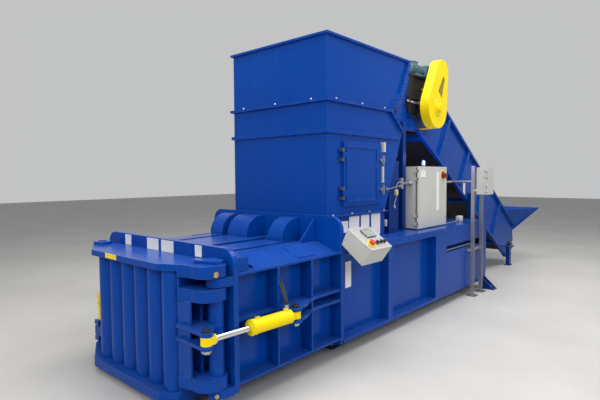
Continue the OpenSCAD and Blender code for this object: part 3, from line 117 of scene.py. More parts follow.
def shade_grain(tree, source, depth):
    """The normal has softened edges and, over them, a grain of that depth that follows source."""
    soft = node_in(tree, "ShaderNodeBevel", Radius=0.0015)
    soft.samples = 4
    bump = node_in(tree, "ShaderNodeBump", Strength=depth, Distance=0.001)
    tree.links.new(source, bump.inputs["Height"])
    tree.links.new(soft.outputs["Normal"], bump.inputs["Normal"])
    tree.links.new(bump.outputs["Normal"], tree.nodes["Principled BSDF"].inputs["Normal"])


def moulded(name, colour, roughness, scale, depth, coat=0.0):
    """Rubber or plastic with a fine moulded grain and a little mottling."""
    material = new_material(name, roughness=roughness, coat=coat)
    tree = material.node_tree
    place = node_in(tree, "ShaderNodeTexCoord")
    mottle = node_in(tree, "ShaderNodeTexNoise", Scale=7.0, Detail=5.0)
    tree.links.new(place.outputs["Object"], mottle.inputs["Vector"])
    dark = [v * 0.8 for v in colour]
    light = [min(1, v * 1.15) for v in colour]
    shade_colour(tree, mottle.outputs["Fac"], (0.35, dark), (0.7, light))
    grain = node_in(tree, "ShaderNodeTexNoise", Scale=scale, Detail=2.0)
    tree.links.new(place.outputs["Object"], grain.inputs["Vector"])
    shade_grain(tree, grain.outputs["Fac"], depth)
    return material


# Hoses and cables
# Two rubber hoses hang from the shelf of the chamber to the adapter near the base of the door
# cylinder. Grey cables join the small boxes beside the hopper, and one runs over the deck.


def flexible_line(name, places, diameter, material):
    """A hose or cable through drawing places in mm."""
    line = bpy.data.curves.new(name, "CURVE")
    line.dimensions = "3D"
    line.bevel_depth = diameter / 2000
    line.bevel_resolution = 3
    line.use_fill_caps = True
    run = line.splines.new("POLY")
    run.points.add(len(places) - 1)
    for point, place in zip(run.points, places):
        point.co = (*spot(*place), 1)
    piece = bpy.data.objects.new(name, line)
    bpy.context.scene.collection.objects.link(piece)
    line.materials.append(material)
    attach(piece, "frame")
    return piece


def bend(start, start_pull, end_pull, end, steps):
    """Places along a smooth bend that leaves start by start_pull and arrives at end by end_pull."""
    first = Vector(start)
    last = Vector(end)
    second = first + Vector(start_pull)
    third = last - Vector(end_pull)
    places = []
    for step in range(steps + 1):
        t = step / steps
        s = 1 - t
        places.append(first * s ** 3 + second * 3 * s * s * t + third * 3 * s * t * t + last * t ** 3)
    return places


hose_rubber = moulded("hose_rubber", (0.024, 0.024, 0.026), 0.5, 200.0, 0.3)
cable_sheath = moulded("cable_sheath", (0.30, 0.31, 0.33), 0.45, 260.0, 0.2)
cylinder_base = Vector((-665, -935, 550))
barrel_turn = math.atan2(50, -780)
barrel_way = Vector((math.cos(barrel_turn), math.sin(barrel_turn), 0))
base_port = 92
rod_port = 367
port_top = Vector((cylinder_base.x + base_port * math.cos(barrel_turn),
                   cylinder_base.y + base_port * math.sin(barrel_turn), 618.3))
hose_ends = []
for number, shift in enumerate((-9, 9)):
    hose_ends.append((port_top + Vector((shift, 0, 0)), Vector((-745 + 24 * number, -813, 909.7))))
for number, (start, top) in enumerate(hose_ends):
    rise = bend(start + Vector((0, 0, 20)), (0, 0, 90), (0, 0, 110), top - Vector((0, 0, 6)), 20)
    route = [start + Vector((0, 0, 2))] + rise + [top]
    hose = flexible_line("cylinder_hose_%d" % (number + 1), route, 15, hose_rubber)
    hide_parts("cylinder_hoses")
cable_routes = (
    bend((1400, -645, 1466), (-90, 0, -6), (-70, 4, -2), (1132, -643, 1438), 18),
    bend((1324, -642, 1425), (0, 0, 60), (70, 0, 0), (1400, -645, 1506), 18),
    bend((1324, -642, 1364), (0, 0, -60), (0, 0, -60), (1282, -642, 1256), 18))
for number, route in enumerate(cable_routes):
    flexible_line("sensor_cable_%d" % (number + 1), route, 8, cable_sheath)
deck_route = bend((2452, -660, 1010), (50, 0, 0), (60, 0, 0), (2580, -664, 956), 8)
deck_route += bend((2600, -664, 956), (90, 0, 0), (90, 0, 0), (2900, -650, 956), 10)
deck_route += bend((2910, -650, 956), (40, 0, 0), (40, 0, 0), (2990, -650, 974), 8)
flexible_line("deck_cable", deck_route, 12, cable_sheath)

# Floor and light
# A pale screed floor under the machine, and soft boxes like the rows of high lamps of a hall: one
# over the machine, one off the door end and one along the near side.


def clear_selection():
    """Nothing selected, so that the next operator acts on the new piece alone."""
    if bpy.context.object is not None and bpy.context.object.mode != "OBJECT":
        bpy.ops.object.mode_set(mode="OBJECT")
    bpy.ops.object.select_all(action="DESELECT")


clear_selection()
bpy.ops.mesh.primitive_plane_add(size=60, location=(0, 0, -0.001))
floor = bpy.context.object
floor.name = "floor"
bpy.ops.object.transform_apply(location=True)
screed = new_material("pale_screed", roughness=0.5, specular=0.35)
tree = screed.node_tree
place = node_in(tree, "ShaderNodeTexCoord")
cloud = node_in(tree, "ShaderNodeTexNoise", Scale=0.7, Detail=6.0, Roughness=0.6)
tree.links.new(place.outputs["Object"], cloud.inputs["Vector"])
shade_colour(tree, cloud.outputs["Fac"], (0.3, (0.46, 0.45, 0.43)), (0.72, (0.56, 0.55, 0.53)))
floor.data.materials.append(screed)

world = bpy.data.worlds.new("hall")
bpy.context.scene.world = world
world.use_nodes = True
tree = world.node_tree
light_path = node_in(tree, "ShaderNodeLightPath")
hall_light = tree.nodes["Background"]
hall_light.inputs["Color"].default_value = (0.80, 0.84, 0.90, 1)
hall_light.inputs["Strength"].default_value = 0.31
backdrop = node_in(tree, "ShaderNodeBackground", Color=(0.54, 0.545, 0.55, 1), Strength=1.0)
seen = node_in(tree, "ShaderNodeMath")
seen.operation = "MAXIMUM"
tree.links.new(light_path.outputs["Is Camera Ray"], seen.inputs[0])
tree.links.new(light_path.outputs["Is Glossy Ray"], seen.inputs[1])
chooser = node_in(tree, "ShaderNodeMixShader")
tree.links.new(seen.outputs["Value"], chooser.inputs["Fac"])
tree.links.new(hall_light.outputs["Background"], chooser.inputs[1])
tree.links.new(backdrop.outputs["Background"], chooser.inputs[2])
tree.links.new(chooser.outputs["Shader"], tree.nodes["World Output"].inputs["Surface"])


def soft_box(name, where, towards, width, height, power, tint):
    """A rectangular lamp that faces a place."""
    lamp = bpy.data.lights.new(name, "AREA")
    lamp.shape = "RECTANGLE"
    lamp.size = width
    lamp.size_y = height
    lamp.energy = power
    lamp.color = tint
    holder = bpy.data.objects.new(name, lamp)
    bpy.context.scene.collection.objects.link(holder)
    holder.location = where
    aim = Vector(towards) - Vector(where)
    holder.rotation_euler = aim.to_track_quat("-Z", "Y").to_euler()


soft_box("overhead_rows", (-0.5, -1.0, 6.5), (0.2, 0, 0.8), 9.0, 4.0, 600, (1.0, 0.98, 0.95))
soft_box("door_end_lamp", (-8.0, -1.0, 4.4), (-0.6, -0.4, 1.1), 4.0, 3.0, 210, (1.0, 0.99, 0.97))
soft_box("near_side_lamp", (-3.6, -7.0, 4.6), (-0.3, 0.0, 1.0), 6.0, 3.0, 270, (0.96, 0.98, 1.0))

# Painted plate
# The welded plates have a gloss blue enamel with a faint orange peel, soft dirty streaks on upright
# faces, dust where it lies flat and lighter edges, partly rubbed paint and partly a painted highlight.


def build_wear_and_highlight_group():
    """Shared worn look and painted edge highlight: colour, roughness and a normal with soft edges."""
    group = bpy.data.node_groups.new("wear_and_edge_highlight", "ShaderNodeTree")
    for name, kind in (("Paint", "NodeSocketColor"), ("Rubbed And Highlight", "NodeSocketColor"),
                       ("Dust", "NodeSocketColor"), ("Dust Amount", "NodeSocketFloat"),
                       ("Rub And Highlight Amount", "NodeSocketFloat"), ("Streak Amount", "NodeSocketFloat"),
                       ("Gloss Roughness", "NodeSocketFloat"), ("Edge Radius", "NodeSocketFloat")):
        group.interface.new_socket(name=name, in_out="INPUT", socket_type=kind)
    for name, kind in (("Color", "NodeSocketColor"), ("Roughness", "NodeSocketFloat"),
                       ("Normal", "NodeSocketVector")):
        group.interface.new_socket(name=name, in_out="OUTPUT", socket_type=kind)
    ends = group.nodes.new("NodeGroupInput")
    out = group.nodes.new("NodeGroupOutput")
    link = group.links.new

    def math_node(kind, first, second=None, clamp=False):
        node = group.nodes.new("ShaderNodeMath")
        node.operation = kind
        node.use_clamp = clamp
        for socket, value in ((0, first), (1, second)):
            if value is None:
                continue
            if isinstance(value, (int, float)):
                node.inputs[socket].default_value = value
            else:
                link(value, node.inputs[socket])
        return node.outputs[0]

    def noise(scale, detail, stretch=(1, 1, 1)):
        slide = group.nodes.new("ShaderNodeMapping")
        slide.inputs["Scale"].default_value = stretch
        link(place.outputs["Object"], slide.inputs["Vector"])
        node = node_in(group, "ShaderNodeTexNoise", Scale=scale, Detail=detail, Roughness=0.6)
        link(slide.outputs["Vector"], node.inputs["Vector"])
        return node.outputs["Fac"]

    def blend(first, second, amount):
        node = group.nodes.new("ShaderNodeMix")
        node.data_type = "RGBA"
        link(amount, node.inputs["Factor"])
        link(first, node.inputs["A"])
        link(second, node.inputs["B"])
        return node.outputs["Result"]

    place = group.nodes.new("ShaderNodeTexCoord")
    surface = group.nodes.new("ShaderNodeNewGeometry")
    rounded = group.nodes.new("ShaderNodeBevel")
    rounded.samples = 4
    link(ends.outputs["Edge Radius"], rounded.inputs["Radius"])
    across = group.nodes.new("ShaderNodeVectorMath")
    across.operation = "DOT_PRODUCT"
    link(rounded.outputs["Normal"], across.inputs[0])
    link(surface.outputs["Normal"], across.inputs[1])
    edge = math_node("SUBTRACT", 1.0, across.outputs["Value"], True)
    edge = math_node("MULTIPLY", edge, 7.0, True)
    # The rub mask lightens the edges: partly rubbed paint, partly a painted highlight.
    rub_and_highlight = math_node("SUBTRACT", noise(9.0, 5.0), 0.45, True)
    rub_and_highlight = math_node("MULTIPLY", rub_and_highlight, 5.0, True)
    rub_and_highlight = math_node("MULTIPLY", rub_and_highlight, edge)
    rub_and_highlight = math_node("MULTIPLY", rub_and_highlight, ends.outputs["Rub And Highlight Amount"], True)
    split = group.nodes.new("ShaderNodeSeparateXYZ")
    link(surface.outputs["Normal"], split.inputs["Vector"])
    flat = math_node("SUBTRACT", split.outputs["Z"], 0.72, True)
    flat = math_node("MULTIPLY", flat, 3.6, True)
    settled = math_node("MULTIPLY", flat, noise(3.2, 6.0))
    settled = math_node("MULTIPLY", settled, ends.outputs["Dust Amount"], True)
    streak = math_node("SUBTRACT", noise(1.0, 5.0, (9, 9, 0.8)), 0.5, True)
    streak = math_node("MULTIPLY", streak, ends.outputs["Streak Amount"], True)
    tone = math_node("MULTIPLY_ADD", noise(1.4, 3.0), 0.22)
    tone.node.inputs[2].default_value = 0.89
    shade = group.nodes.new("ShaderNodeVectorMath")
    shade.operation = "SCALE"
    link(ends.outputs["Paint"], shade.inputs[0])
    link(tone, shade.inputs["Scale"])
    streaked = blend(shade.outputs["Vector"], ends.outputs["Dust"], streak)
    dusted = blend(streaked, ends.outputs["Dust"], settled)
    link(blend(dusted, ends.outputs["Rubbed And Highlight"], rub_and_highlight), out.inputs["Color"])
    rough = math_node("MULTIPLY_ADD", noise(5.0, 4.0), 0.14)
    link(ends.outputs["Gloss Roughness"], rough.node.inputs[2])
    rough = math_node("ADD", rough, math_node("MULTIPLY", settled, 0.35))
    link(math_node("ADD", rough, math_node("MULTIPLY", rub_and_highlight, 0.25), True), out.inputs["Roughness"])
    peel = node_in(group, "ShaderNodeBump", Strength=0.10, Distance=0.004)
    link(noise(55.0, 3.0), peel.inputs["Height"])
    link(rounded.outputs["Normal"], peel.inputs["Normal"])
    link(peel.outputs["Normal"], out.inputs["Normal"])
    return group


wear_and_highlight = build_wear_and_highlight_group()


def painted(name, colour, rubbed_and_highlight, roughness=0.24, dust=0.22, rub_and_highlight=0.5, streak=0.08, edge=0.004,
            dust_colour=(0.20, 0.22, 0.26), coat=0.08, specular=0.10):
    """A painted finish with its own values of the shared worn look and painted edge highlight."""
    material = new_material(name, specular=specular, coat=coat, coat_roughness=0.12)
    tree = material.node_tree
    node = tree.nodes.new("ShaderNodeGroup")
    node.node_tree = wear_and_highlight
    node.inputs["Paint"].default_value = (*colour, 1)
    node.inputs["Rubbed And Highlight"].default_value = (*rubbed_and_highlight, 1)
    node.inputs["Dust"].default_value = (*dust_colour, 1)
    node.inputs["Dust Amount"].default_value = dust
    node.inputs["Rub And Highlight Amount"].default_value = rub_and_highlight
    node.inputs["Streak Amount"].default_value = streak
    node.inputs["Gloss Roughness"].default_value = roughness
    node.inputs["Edge Radius"].default_value = edge
    shader = tree.nodes["Principled BSDF"]
    tree.links.new(node.outputs["Color"], shader.inputs["Base Color"])
    tree.links.new(node.outputs["Roughness"], shader.inputs["Roughness"])
    tree.links.new(node.outputs["Normal"], shader.inputs["Normal"])
    return material


def dress(material, *names):
    """Gives these nodes of the frame that finish."""
    for name in names:
        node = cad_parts[name]
        node.data.materials.clear()
        node.data.materials.append(material)


# The blue's light edge colour is mostly a painted highlight along the plate edges.
blue_enamel = painted("blue_enamel", (0.0006, 0.050, 0.31), (0.08, 0.24, 0.64), roughness=0.15,
                      rub_and_highlight=0.85, dust=0.12)
dress(blue_enamel, "chamber_side_near", "chamber_side_far", "door_end_flange", "throat_flange",
      "top_beams", "gusset_fins", "cylinder_lug", "rear_side_near", "rear_side_far", "deck",
      "rear_bulkhead", "door_frame", "door_ribs", "door_arms", "main_cylinder", "loading_hopper",
      "conveyor_frame", "lower_hopper", "upper_hopper", "access_door")
# A darker copy of the blue enamel with painted shade, for the base, floors, feet, conveyor bed and
# legs and the pump unit, which lie in shadow.
painted_shade_blue = painted("blue_enamel_painted_shade", (0.001, 0.026, 0.17), (0.03, 0.10, 0.30), dust=0.3)
dress(painted_shade_blue, "base_rails", "chamber_floor", "rear_floor", "anchor_feet", "conveyor_bed",
      "hydraulic_unit", "conveyor_legs")

# Yellow parts
# The barrel of the door cylinder, the chain guard and the lock pin are painted yellow.
yellow_enamel = painted("yellow_enamel", (0.90, 0.68, 0.003), (0.75, 0.62, 0.3), roughness=0.3,
                        dust=0.15, streak=0.06, dust_colour=(0.25, 0.2, 0.1))
dress(yellow_enamel, "chain_guard", "door_cylinder_barrel", "door_lock")

# Grey boxes and the motor
# The cabinet, the console, the small box and the safety switch have a light grey powder coat. The
# gearmotor is a dark blue grey.
grey_coat = painted("grey_powder_coat", (0.53, 0.52, 0.48), (0.6, 0.6, 0.58), roughness=0.42,
                    dust=0.15, rub_and_highlight=0.15, streak=0.12, edge=0.003, coat=0.0, specular=0.4)
dress(grey_coat, "cabinet_body", "cabinet_door", "console_body", "junction_box", "junction_door",
      "interlock_switch")
motor_coat = painted("motor_coat", (0.10, 0.17, 0.20), (0.3, 0.34, 0.35), roughness=0.38, coat=0.1)
dress(motor_coat, "gearmotor")

# Bare metal
# The bolts, latches, channel and conduit are zinc plated, and the access door's hinges are a dark
# steel with the shade of the door's frame painted into it. The rollers, the sprockets, the ram and
# the hinge pin are worn bright, the piston rod is hard chromed, and the chain and the conveyor's
# bearings are dark with oil.


def metal(name, colour, roughness, stretch, depth=0.12, metallic=1.0):
    """A bare metal with the marks of its making stretched along one way."""
    material = new_material(name, metallic=metallic, roughness=roughness)
    tree = material.node_tree
    place = node_in(tree, "ShaderNodeTexCoord")
    slide = node_in(tree, "ShaderNodeMapping", Scale=stretch)
    tree.links.new(place.outputs["Object"], slide.inputs["Vector"])
    grain = node_in(tree, "ShaderNodeTexNoise", Scale=10.0, Detail=6.0, Roughness=0.7)
    tree.links.new(slide.outputs["Vector"], grain.inputs["Vector"])
    dark = [v * 0.72 for v in colour]
    shade_colour(tree, grain.outputs["Fac"], (0.3, dark), (0.7, colour))
    rough = node_in(tree, "ShaderNodeMapRange")
    rough.inputs["To Min"].default_value = roughness - 0.08
    rough.inputs["To Max"].default_value = roughness + 0.12
    tree.links.new(grain.outputs["Fac"], rough.inputs["Value"])
    tree.links.new(rough.outputs["Result"], tree.nodes["Principled BSDF"].inputs["Roughness"])
    shade_grain(tree, grain.outputs["Fac"], depth)
    return material


zinc_plate = metal("zinc_plate", (0.56, 0.57, 0.58), 0.36, (6, 6, 6))
dress(zinc_plate, "hopper_bolts", "access_latch_upper", "access_latch_lower", "strut_stand",
      "conduits")
# Dark steel with painted shade for the hinges beside the access door.
hinge_steel_painted_shade = metal("hinge_steel_painted_shade", (0.13, 0.14, 0.17), 0.48, (8, 8, 8))
dress(hinge_steel_painted_shade, "access_hinges")
worn_steel = metal("worn_steel", (0.50, 0.49, 0.47), 0.34, (30, 2, 2))
dress(worn_steel, "head_pulley", "tail_pulley", "motor_sprocket", "main_ram", "hinge_pin")
hard_chrome = metal("hard_chrome", (0.80, 0.80, 0.82), 0.14, (2, 40, 40), depth=0.03)
dress(hard_chrome, "door_cylinder_rod")
oiled_iron = metal("oiled_iron", (0.028, 0.030, 0.036), 0.42, (8, 8, 8), metallic=0.4)
dress(oiled_iron, "drive_chain", "conveyor_bearings")

# Belt, controls and lamp
# The belt is black rubber with cleats. The knobs are moulded black plastic, the push button is
# glossy red, the disconnect handle is dark red, the console's lid is a brushed plate and the lamp on
# the cabinet is blue.
belt_rubber = moulded("belt_rubber", (0.028, 0.028, 0.030), 0.62, 160.0, 0.4)
dress(belt_rubber, "conveyor_belt")
black_plastic = moulded("black_plastic", (0.022, 0.022, 0.025), 0.38, 300.0, 0.1)
dress(black_plastic, "selector_left", "selector_middle", "selector_right")
red_plastic = moulded("red_plastic", (0.66, 0.030, 0.010), 0.22, 90.0, 0.02, coat=0.5)
dress(red_plastic, "emergency_stop")
dark_red_plastic = moulded("dark_red_plastic", (0.16, 0.012, 0.012), 0.32, 90.0, 0.03)
dress(dark_red_plastic, "disconnect_handle")
brushed_panel = metal("brushed_panel", (0.62, 0.63, 0.64), 0.34, (40, 2, 2))
dress(brushed_panel, "console_panel")
lens_blue = moulded("lens_blue", (0.30, 0.42, 0.95), 0.12, 30.0, 0.02)
lens_shader = lens_blue.node_tree.nodes["Principled BSDF"]
lens_shader.inputs["Emission Color"].default_value = (0.30, 0.38, 1.0, 1)
lens_shader.inputs["Emission Strength"].default_value = 0.9
dress(lens_blue, "beacon")

# Shapes in general
# Small pieces are blocks with broken edges, or turned parts. A turned part is given by its steps,
# which are pairs of a radius and a height in millimetres.


def finish_piece(piece, body, material):
    """Shades a finished piece, gives it its material and fixes it to its body."""
    clear_selection()
    piece.select_set(True)
    bpy.context.view_layer.objects.active = piece
    bpy.ops.object.transform_apply(location=True, rotation=True, scale=True)
    bpy.ops.object.shade_smooth_by_angle(angle=math.radians(35))
    piece.data.materials.clear()
    piece.data.materials.append(material)
    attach(piece, body)


def break_edges(edge):
    """Bevels every edge of the active piece by edge, in millimetres."""
    bpy.ops.object.mode_set(mode="EDIT")
    bpy.ops.mesh.select_all(action="SELECT")
    bpy.ops.mesh.bevel(offset=edge / 1000, segments=2)
    bpy.ops.object.mode_set(mode="OBJECT")


def block_piece(name, low, high, edge=1.5):
    """A block with broken edges, from its low corner to its high corner, both drawing places."""
    clear_selection()
    low = Vector(low)
    high = Vector(high)
    bpy.ops.mesh.primitive_cube_add(size=1, location=spot(*((low + high) / 2)))
    piece = bpy.context.object
    piece.name = name
    piece.scale = (high - low) / 1000
    bpy.ops.object.transform_apply(location=True, scale=True)
    break_edges(edge)
    return piece


def rim_face(piece, way, border, rise=0.0):
    """Borders the largest face that looks along way and raises its middle, both in metres."""
    way = Vector(way)
    facing = 0.9
    nearly_largest = 0.9
    bpy.ops.object.mode_set(mode="EDIT")
    bpy.ops.mesh.select_all(action="DESELECT")
    bpy.ops.object.mode_set(mode="OBJECT")
    largest = 0
    for face in piece.data.polygons:
        if face.normal.dot(way) > facing:
            largest = max(largest, face.area)
    for face in piece.data.polygons:
        face.select = face.normal.dot(way) > facing and face.area > largest * nearly_largest
    bpy.ops.object.mode_set(mode="EDIT")
    bpy.ops.mesh.inset(thickness=border)
    if rise:
        bpy.ops.transform.translate(value=way * rise)
    bpy.ops.object.mode_set(mode="OBJECT")


def join_pieces(name, pieces):
    """Several meshes as one piece."""
    clear_selection()
    for piece in pieces:
        piece.select_set(True)
    bpy.context.view_layer.objects.active = pieces[0]
    bpy.ops.object.join()
    pieces[0].name = name
    return pieces[0]


def turned_piece(name, where, way, steps, sides=32):
    """A turned part: discs of the radii in steps, (radius, height) in mm, along way from where."""
    clear_selection()
    bpy.ops.mesh.primitive_circle_add(vertices=sides, radius=steps[0][0] / 1000, fill_type="NGON",
                                      location=(0, 0, steps[0][1] / 1000))
    piece = bpy.context.object
    piece.name = name
    bpy.ops.object.transform_apply(location=True)
    bpy.ops.object.mode_set(mode="EDIT")
    bpy.ops.mesh.select_all(action="SELECT")
    for before, after in zip(steps, steps[1:]):
        rise = (after[1] - before[1]) / 1000
        bpy.ops.mesh.extrude_region_move(TRANSFORM_OT_translate={"value": (0, 0, rise)})
        grow = after[0] / before[0]
        bpy.ops.transform.resize(value=(grow, grow, 1), center_override=(0, 0, after[1] / 1000))
    bpy.ops.mesh.select_all(action="SELECT")
    bpy.ops.mesh.normals_make_consistent(inside=False)
    bpy.ops.object.mode_set(mode="OBJECT")
    piece.rotation_mode = "QUATERNION"
    piece.rotation_quaternion = Vector(way).to_track_quat("Z", "Y")
    piece.location = spot(*where)
    bpy.ops.object.transform_apply(location=True, rotation=True)
    return piece


def hex_bolt(where, way, size=18):
    """A hexagon bolt head on its washer, sized across its corners."""
    half = size / 2
    return turned_piece("bolt", where, way, [(half * 1.5, -0.3), (half * 1.5, 2.4), (half, 2.6),
                                             (half, half + 1), (half * 0.86, half + 2.4)], 6)


# Bare plates
# Thin enamelled plates are riveted to the door end flange, the door's rim, the wall beside the
# console and the side of the body. Each has only its folded rim and its rivets.
plate_white = painted("plate_white", (0.78, 0.77, 0.75), (0.5, 0.5, 0.5), roughness=0.35, dust=0.1,
                      rub_and_highlight=0.1, streak=0.35, edge=0.001, coat=0.0)
plate_yellow = painted("plate_yellow", (0.80, 0.62, 0.05), (0.5, 0.5, 0.4), roughness=0.35, dust=0.1,
                       rub_and_highlight=0.1, edge=0.001, coat=0.0)
rivet_steps = [(3.5, -0.5), (3.2, 0.6), (1.6, 1.4)]
rivet_inset = 9


def bare_plate(name, low, high, way, body, material):
    """A thin plate with a folded rim and a rivet in each corner."""
    piece = block_piece(name, low, high, edge=0.6)
    rim_face(piece, way, 0.004, -0.0008)
    low = Vector(low)
    high = Vector(high)
    thin = [abs(v) > 0.5 for v in way].index(True)
    first, second = [axis for axis in range(3) if axis != thin]
    rivets = []
    for u in (0, 1):
        for v in (0, 1):
            place = Vector(high) if sum(way) > 0 else Vector(low)
            place[first] = high[first] - rivet_inset if u else low[first] + rivet_inset
            place[second] = high[second] - rivet_inset if v else low[second] + rivet_inset
            rivets.append(turned_piece("rivet", place, way, rivet_steps, 10))
    finish_piece(join_pieces(name, [piece] + rivets), body, material)


for number, (low_y, high_y, low_z) in enumerate(
        ((466, 566, 1000), (42, 212, 985), (-166, 4, 990), (-520, -440, 1004))):
    bare_plate("flange_plate_%d" % (number + 1), (-1202.4, low_y, low_z), (-1200.2, high_y, 1088),
               (-1, 0, 0), "frame", plate_white)
for number, (low_x, high_x, low_z, high_z) in enumerate(
        ((320, 430, 1040, 1150), (449, 619, 1010, 1188), (652, 800, 1010, 1190),
         (836, 1008, 962, 1192))):
    bare_plate("wall_plate_%d" % (number + 1), (low_x, -631.4, low_z), (high_x, -629.2, high_z),
               (0, -1, 0), "frame", plate_white)
bare_plate("side_plate", (196, -767.4, 560), (288, -765.2, 800), (0, -1, 0), "frame", plate_white)
bare_plate("rim_plate", (-1537.2, 78, 962), (-1535.2, 250, 1000), (-1, 0, 0), "door", plate_yellow)

# Console
# The folded console hangs on the side of the body. Its lid is a brushed plate with a black framed
# screen, a stop button on a yellow ring and three black knobs.
slope = math.atan2(160, 242)
lid_corner = (8, -930.3, 1130)
lid_normal = Vector((0, -math.sin(slope), math.cos(slope)))
lid_down = Vector((0, -math.cos(slope), -math.sin(slope)))
stop_place = (83, 220)
knob_places = (168, 228, 283)


def on_lid(across, down, height):
    """A place on the console's lid: from its left edge, from its back edge and over it."""
    left, back, top = lid_corner
    return Vector((left + across, back, top)) + lid_down * down + lid_normal * height


def lid_block(name, across, down, height, edge):
    """A block on the lid, given by its ranges across, down and over the lid."""
    clear_selection()
    ranges = (across, down, height)
    middle = on_lid(*[(low + high) / 2 for low, high in ranges])
    bpy.ops.mesh.primitive_cube_add(size=1, location=spot(*middle))
    piece = bpy.context.object
    piece.name = name
    piece.scale = [(high - low) / 1000 for low, high in ranges]
    piece.rotation_euler = (slope, 0, 0)
    bpy.ops.object.transform_apply(location=True, rotation=True, scale=True)
    break_edges(edge)
    return piece


bezel = lid_block("screen_bezel", (117.4, 253.6), (47.4, 144.6), (0.4, 12.8), 2.5)
rim_face(bezel, lid_normal, 0.011, -0.0028)
finish_piece(bezel, "frame", black_plastic)
screen_glass = moulded("screen_glass", (0.20, 0.25, 0.23), 0.10, 30.0, 0.0, coat=0.6)
glow = screen_glass.node_tree.nodes["Principled BSDF"]
glow.inputs["Emission Color"].default_value = (0.72, 0.86, 0.80, 1)
glow.inputs["Emission Strength"].default_value = 0.16
screen = lid_block("screen", (129.5, 241.5), (59.5, 132.5), (9.6, 10.6), 0.6)
rim_face(screen, lid_normal, 0.003)
finish_piece(screen, "frame", screen_glass)
ring = turned_piece("stop_ring", on_lid(*stop_place, 0), lid_normal,
                    [(46.6, 0.4), (46.6, 3.4), (45.0, 4.9), (24.0, 4.9), (23.0, 4.4)], 40)
finish_piece(ring, "frame", plate_yellow)
for number, (body, across) in enumerate(zip(("knob_left", "knob_middle", "knob_right"), knob_places)):
    pointer = lid_block("knob_mark_%d" % (number + 1), (across - 1.2, across + 1.2), (206, 217),
                        (25.6, 26.6), 0.3)
    finish_piece(pointer, body, plate_white)
screws = []
screw_steps = [(6, -0.4), (6, 2.0), (4, 3.4), (1.8, 3.4), (1.5, 2.2)]
for x, way in ((8, (-1, 0, 0)), (328, (1, 0, 0))):
    for out_y, low_z in ((-975, 1085), (-1118, 992), (-905, 1035), (-1065, 860)):
        screws.append(turned_piece("screw", (x, out_y, low_z), way, screw_steps, 12))
for x in (30, 306):
    screws.append(turned_piece("screw", (x, -1161.4, 954.9), (0, -0.814, -0.581), screw_steps, 12))
finish_piece(join_pieces("console_screws", screws), "frame", zinc_plate)

# Cabinet
# The cabinet's door has a yellow ring under the disconnect handle, two quarter locks, a gasket and
# two bare plates, one wide and one tall. Its conduits have glands and its lamp has a base.
handle_ring = turned_piece("handle_ring", (2340, -715, 1584), (0, -1, 0),
                           [(64, 0.3), (64, 2.6), (62.5, 3.6), (50, 3.6), (49, 0.5)], 48)
finish_piece(handle_ring, "cabinet_leaf", plate_yellow)
bare_plate("card_plate", (1742, -717.4, 1560), (1870, -715.2, 1640), (0, -1, 0),
           "cabinet_leaf", plate_white)
bare_plate("column_plate", (2160, -717.2, 1150), (2236, -715.2, 1620), (0, -1, 0),
           "cabinet_leaf", plate_white)
locks = []
for height in (1060, 1590):
    locks.append(turned_piece("quarter_lock", (2425, -715, height), (0, -1, 0),
                              [(13, -0.2), (13, 3), (11, 5), (6, 5), (5, 2)], 24))
finish_piece(join_pieces("door_quarter_locks", locks), "cabinet_leaf", zinc_plate)
glands = [
    turned_piece("side_gland", (1674, -625, 1494), (-1, 0, 0),
                 [(25, -8), (25, 4), (20, 6), (20, 18), (16, 24), (13.4, 28)], 12),
    turned_piece("end_gland", (2450, -625, 1494), (1, 0, 0),
                 [(26, 0.4), (26, 12), (21, 14), (21, 26), (16, 30)], 12)]
finish_piece(join_pieces("conduit_glands", glands), "frame", zinc_plate)
seam = block_piece("door_gasket", (1699.0, -692, 976), (1700.8, -680, 1672), 0.5)
rim_face(seam, (-1, 0, 0), 0.002, -0.0006)
sleeves = [seam]
for height in (1034, 1554):
    for low in (height - 30, height + 60.3):
        sleeves.append(turned_piece("hinge_sleeve", (1690, -707, low), (0, 0, 1),
                                    [(6.4, -0.2), (7.5, 0.8), (7.5, 28.8), (6.4, 29.8)], 20))
finish_piece(join_pieces("door_gasket", sleeves), "frame", black_plastic)
lamp_base = turned_piece("beacon_base", (2055, -595, 1684), (0, 0, 1),
                         [(27, 0.4), (27, 14), (25.6, 20.6), (23, 21)], 32)
finish_piece(lamp_base, "frame", black_plastic)
beacon_light = bpy.data.lights.new("beacon_glow", "POINT")
beacon_light.energy = 3
beacon_light.color = (0.35, 0.35, 1.0)
beacon_light.shadow_soft_size = 0.06
beacon_holder = bpy.data.objects.new("beacon_glow", beacon_light)
beacon_holder.location = spot(2055, -690, 1800)
bpy.context.scene.collection.objects.link(beacon_holder)

# Chain guard
# The guard over the chain has a turned yellow cap over the shaft's end and a woven wire window.
wire_mesh = new_material("wire_mesh", metallic=0.4, roughness=0.5)
tree = wire_mesh.node_tree
shader = tree.nodes["Principled BSDF"]
place = node_in(tree, "ShaderNodeTexCoord")
weave = node_in(tree, "ShaderNodeTexBrick", Scale=90.0, Mortar_Size=0.03)
weave.offset = 0.0
slide = node_in(tree, "ShaderNodeMapping")
slide.inputs["Rotation"].default_value = (math.radians(90), 0, 0)
tree.links.new(place.outputs["Object"], slide.inputs["Vector"])
tree.links.new(slide.outputs["Vector"], weave.inputs["Vector"])
weave.inputs["Color1"].default_value = (0.24, 0.19, 0.03, 1)
weave.inputs["Color2"].default_value = (0.28, 0.22, 0.03, 1)
weave.inputs["Mortar"].default_value = (0.42, 0.33, 0.05, 1)
tree.links.new(weave.outputs["Color"], shader.inputs["Base Color"])
bump = node_in(tree, "ShaderNodeBump", Strength=0.8, Distance=0.003)
tree.links.new(weave.outputs["Fac"], bump.inputs["Height"])
tree.links.new(bump.outputs["Normal"], shader.inputs["Normal"])
clear_selection()
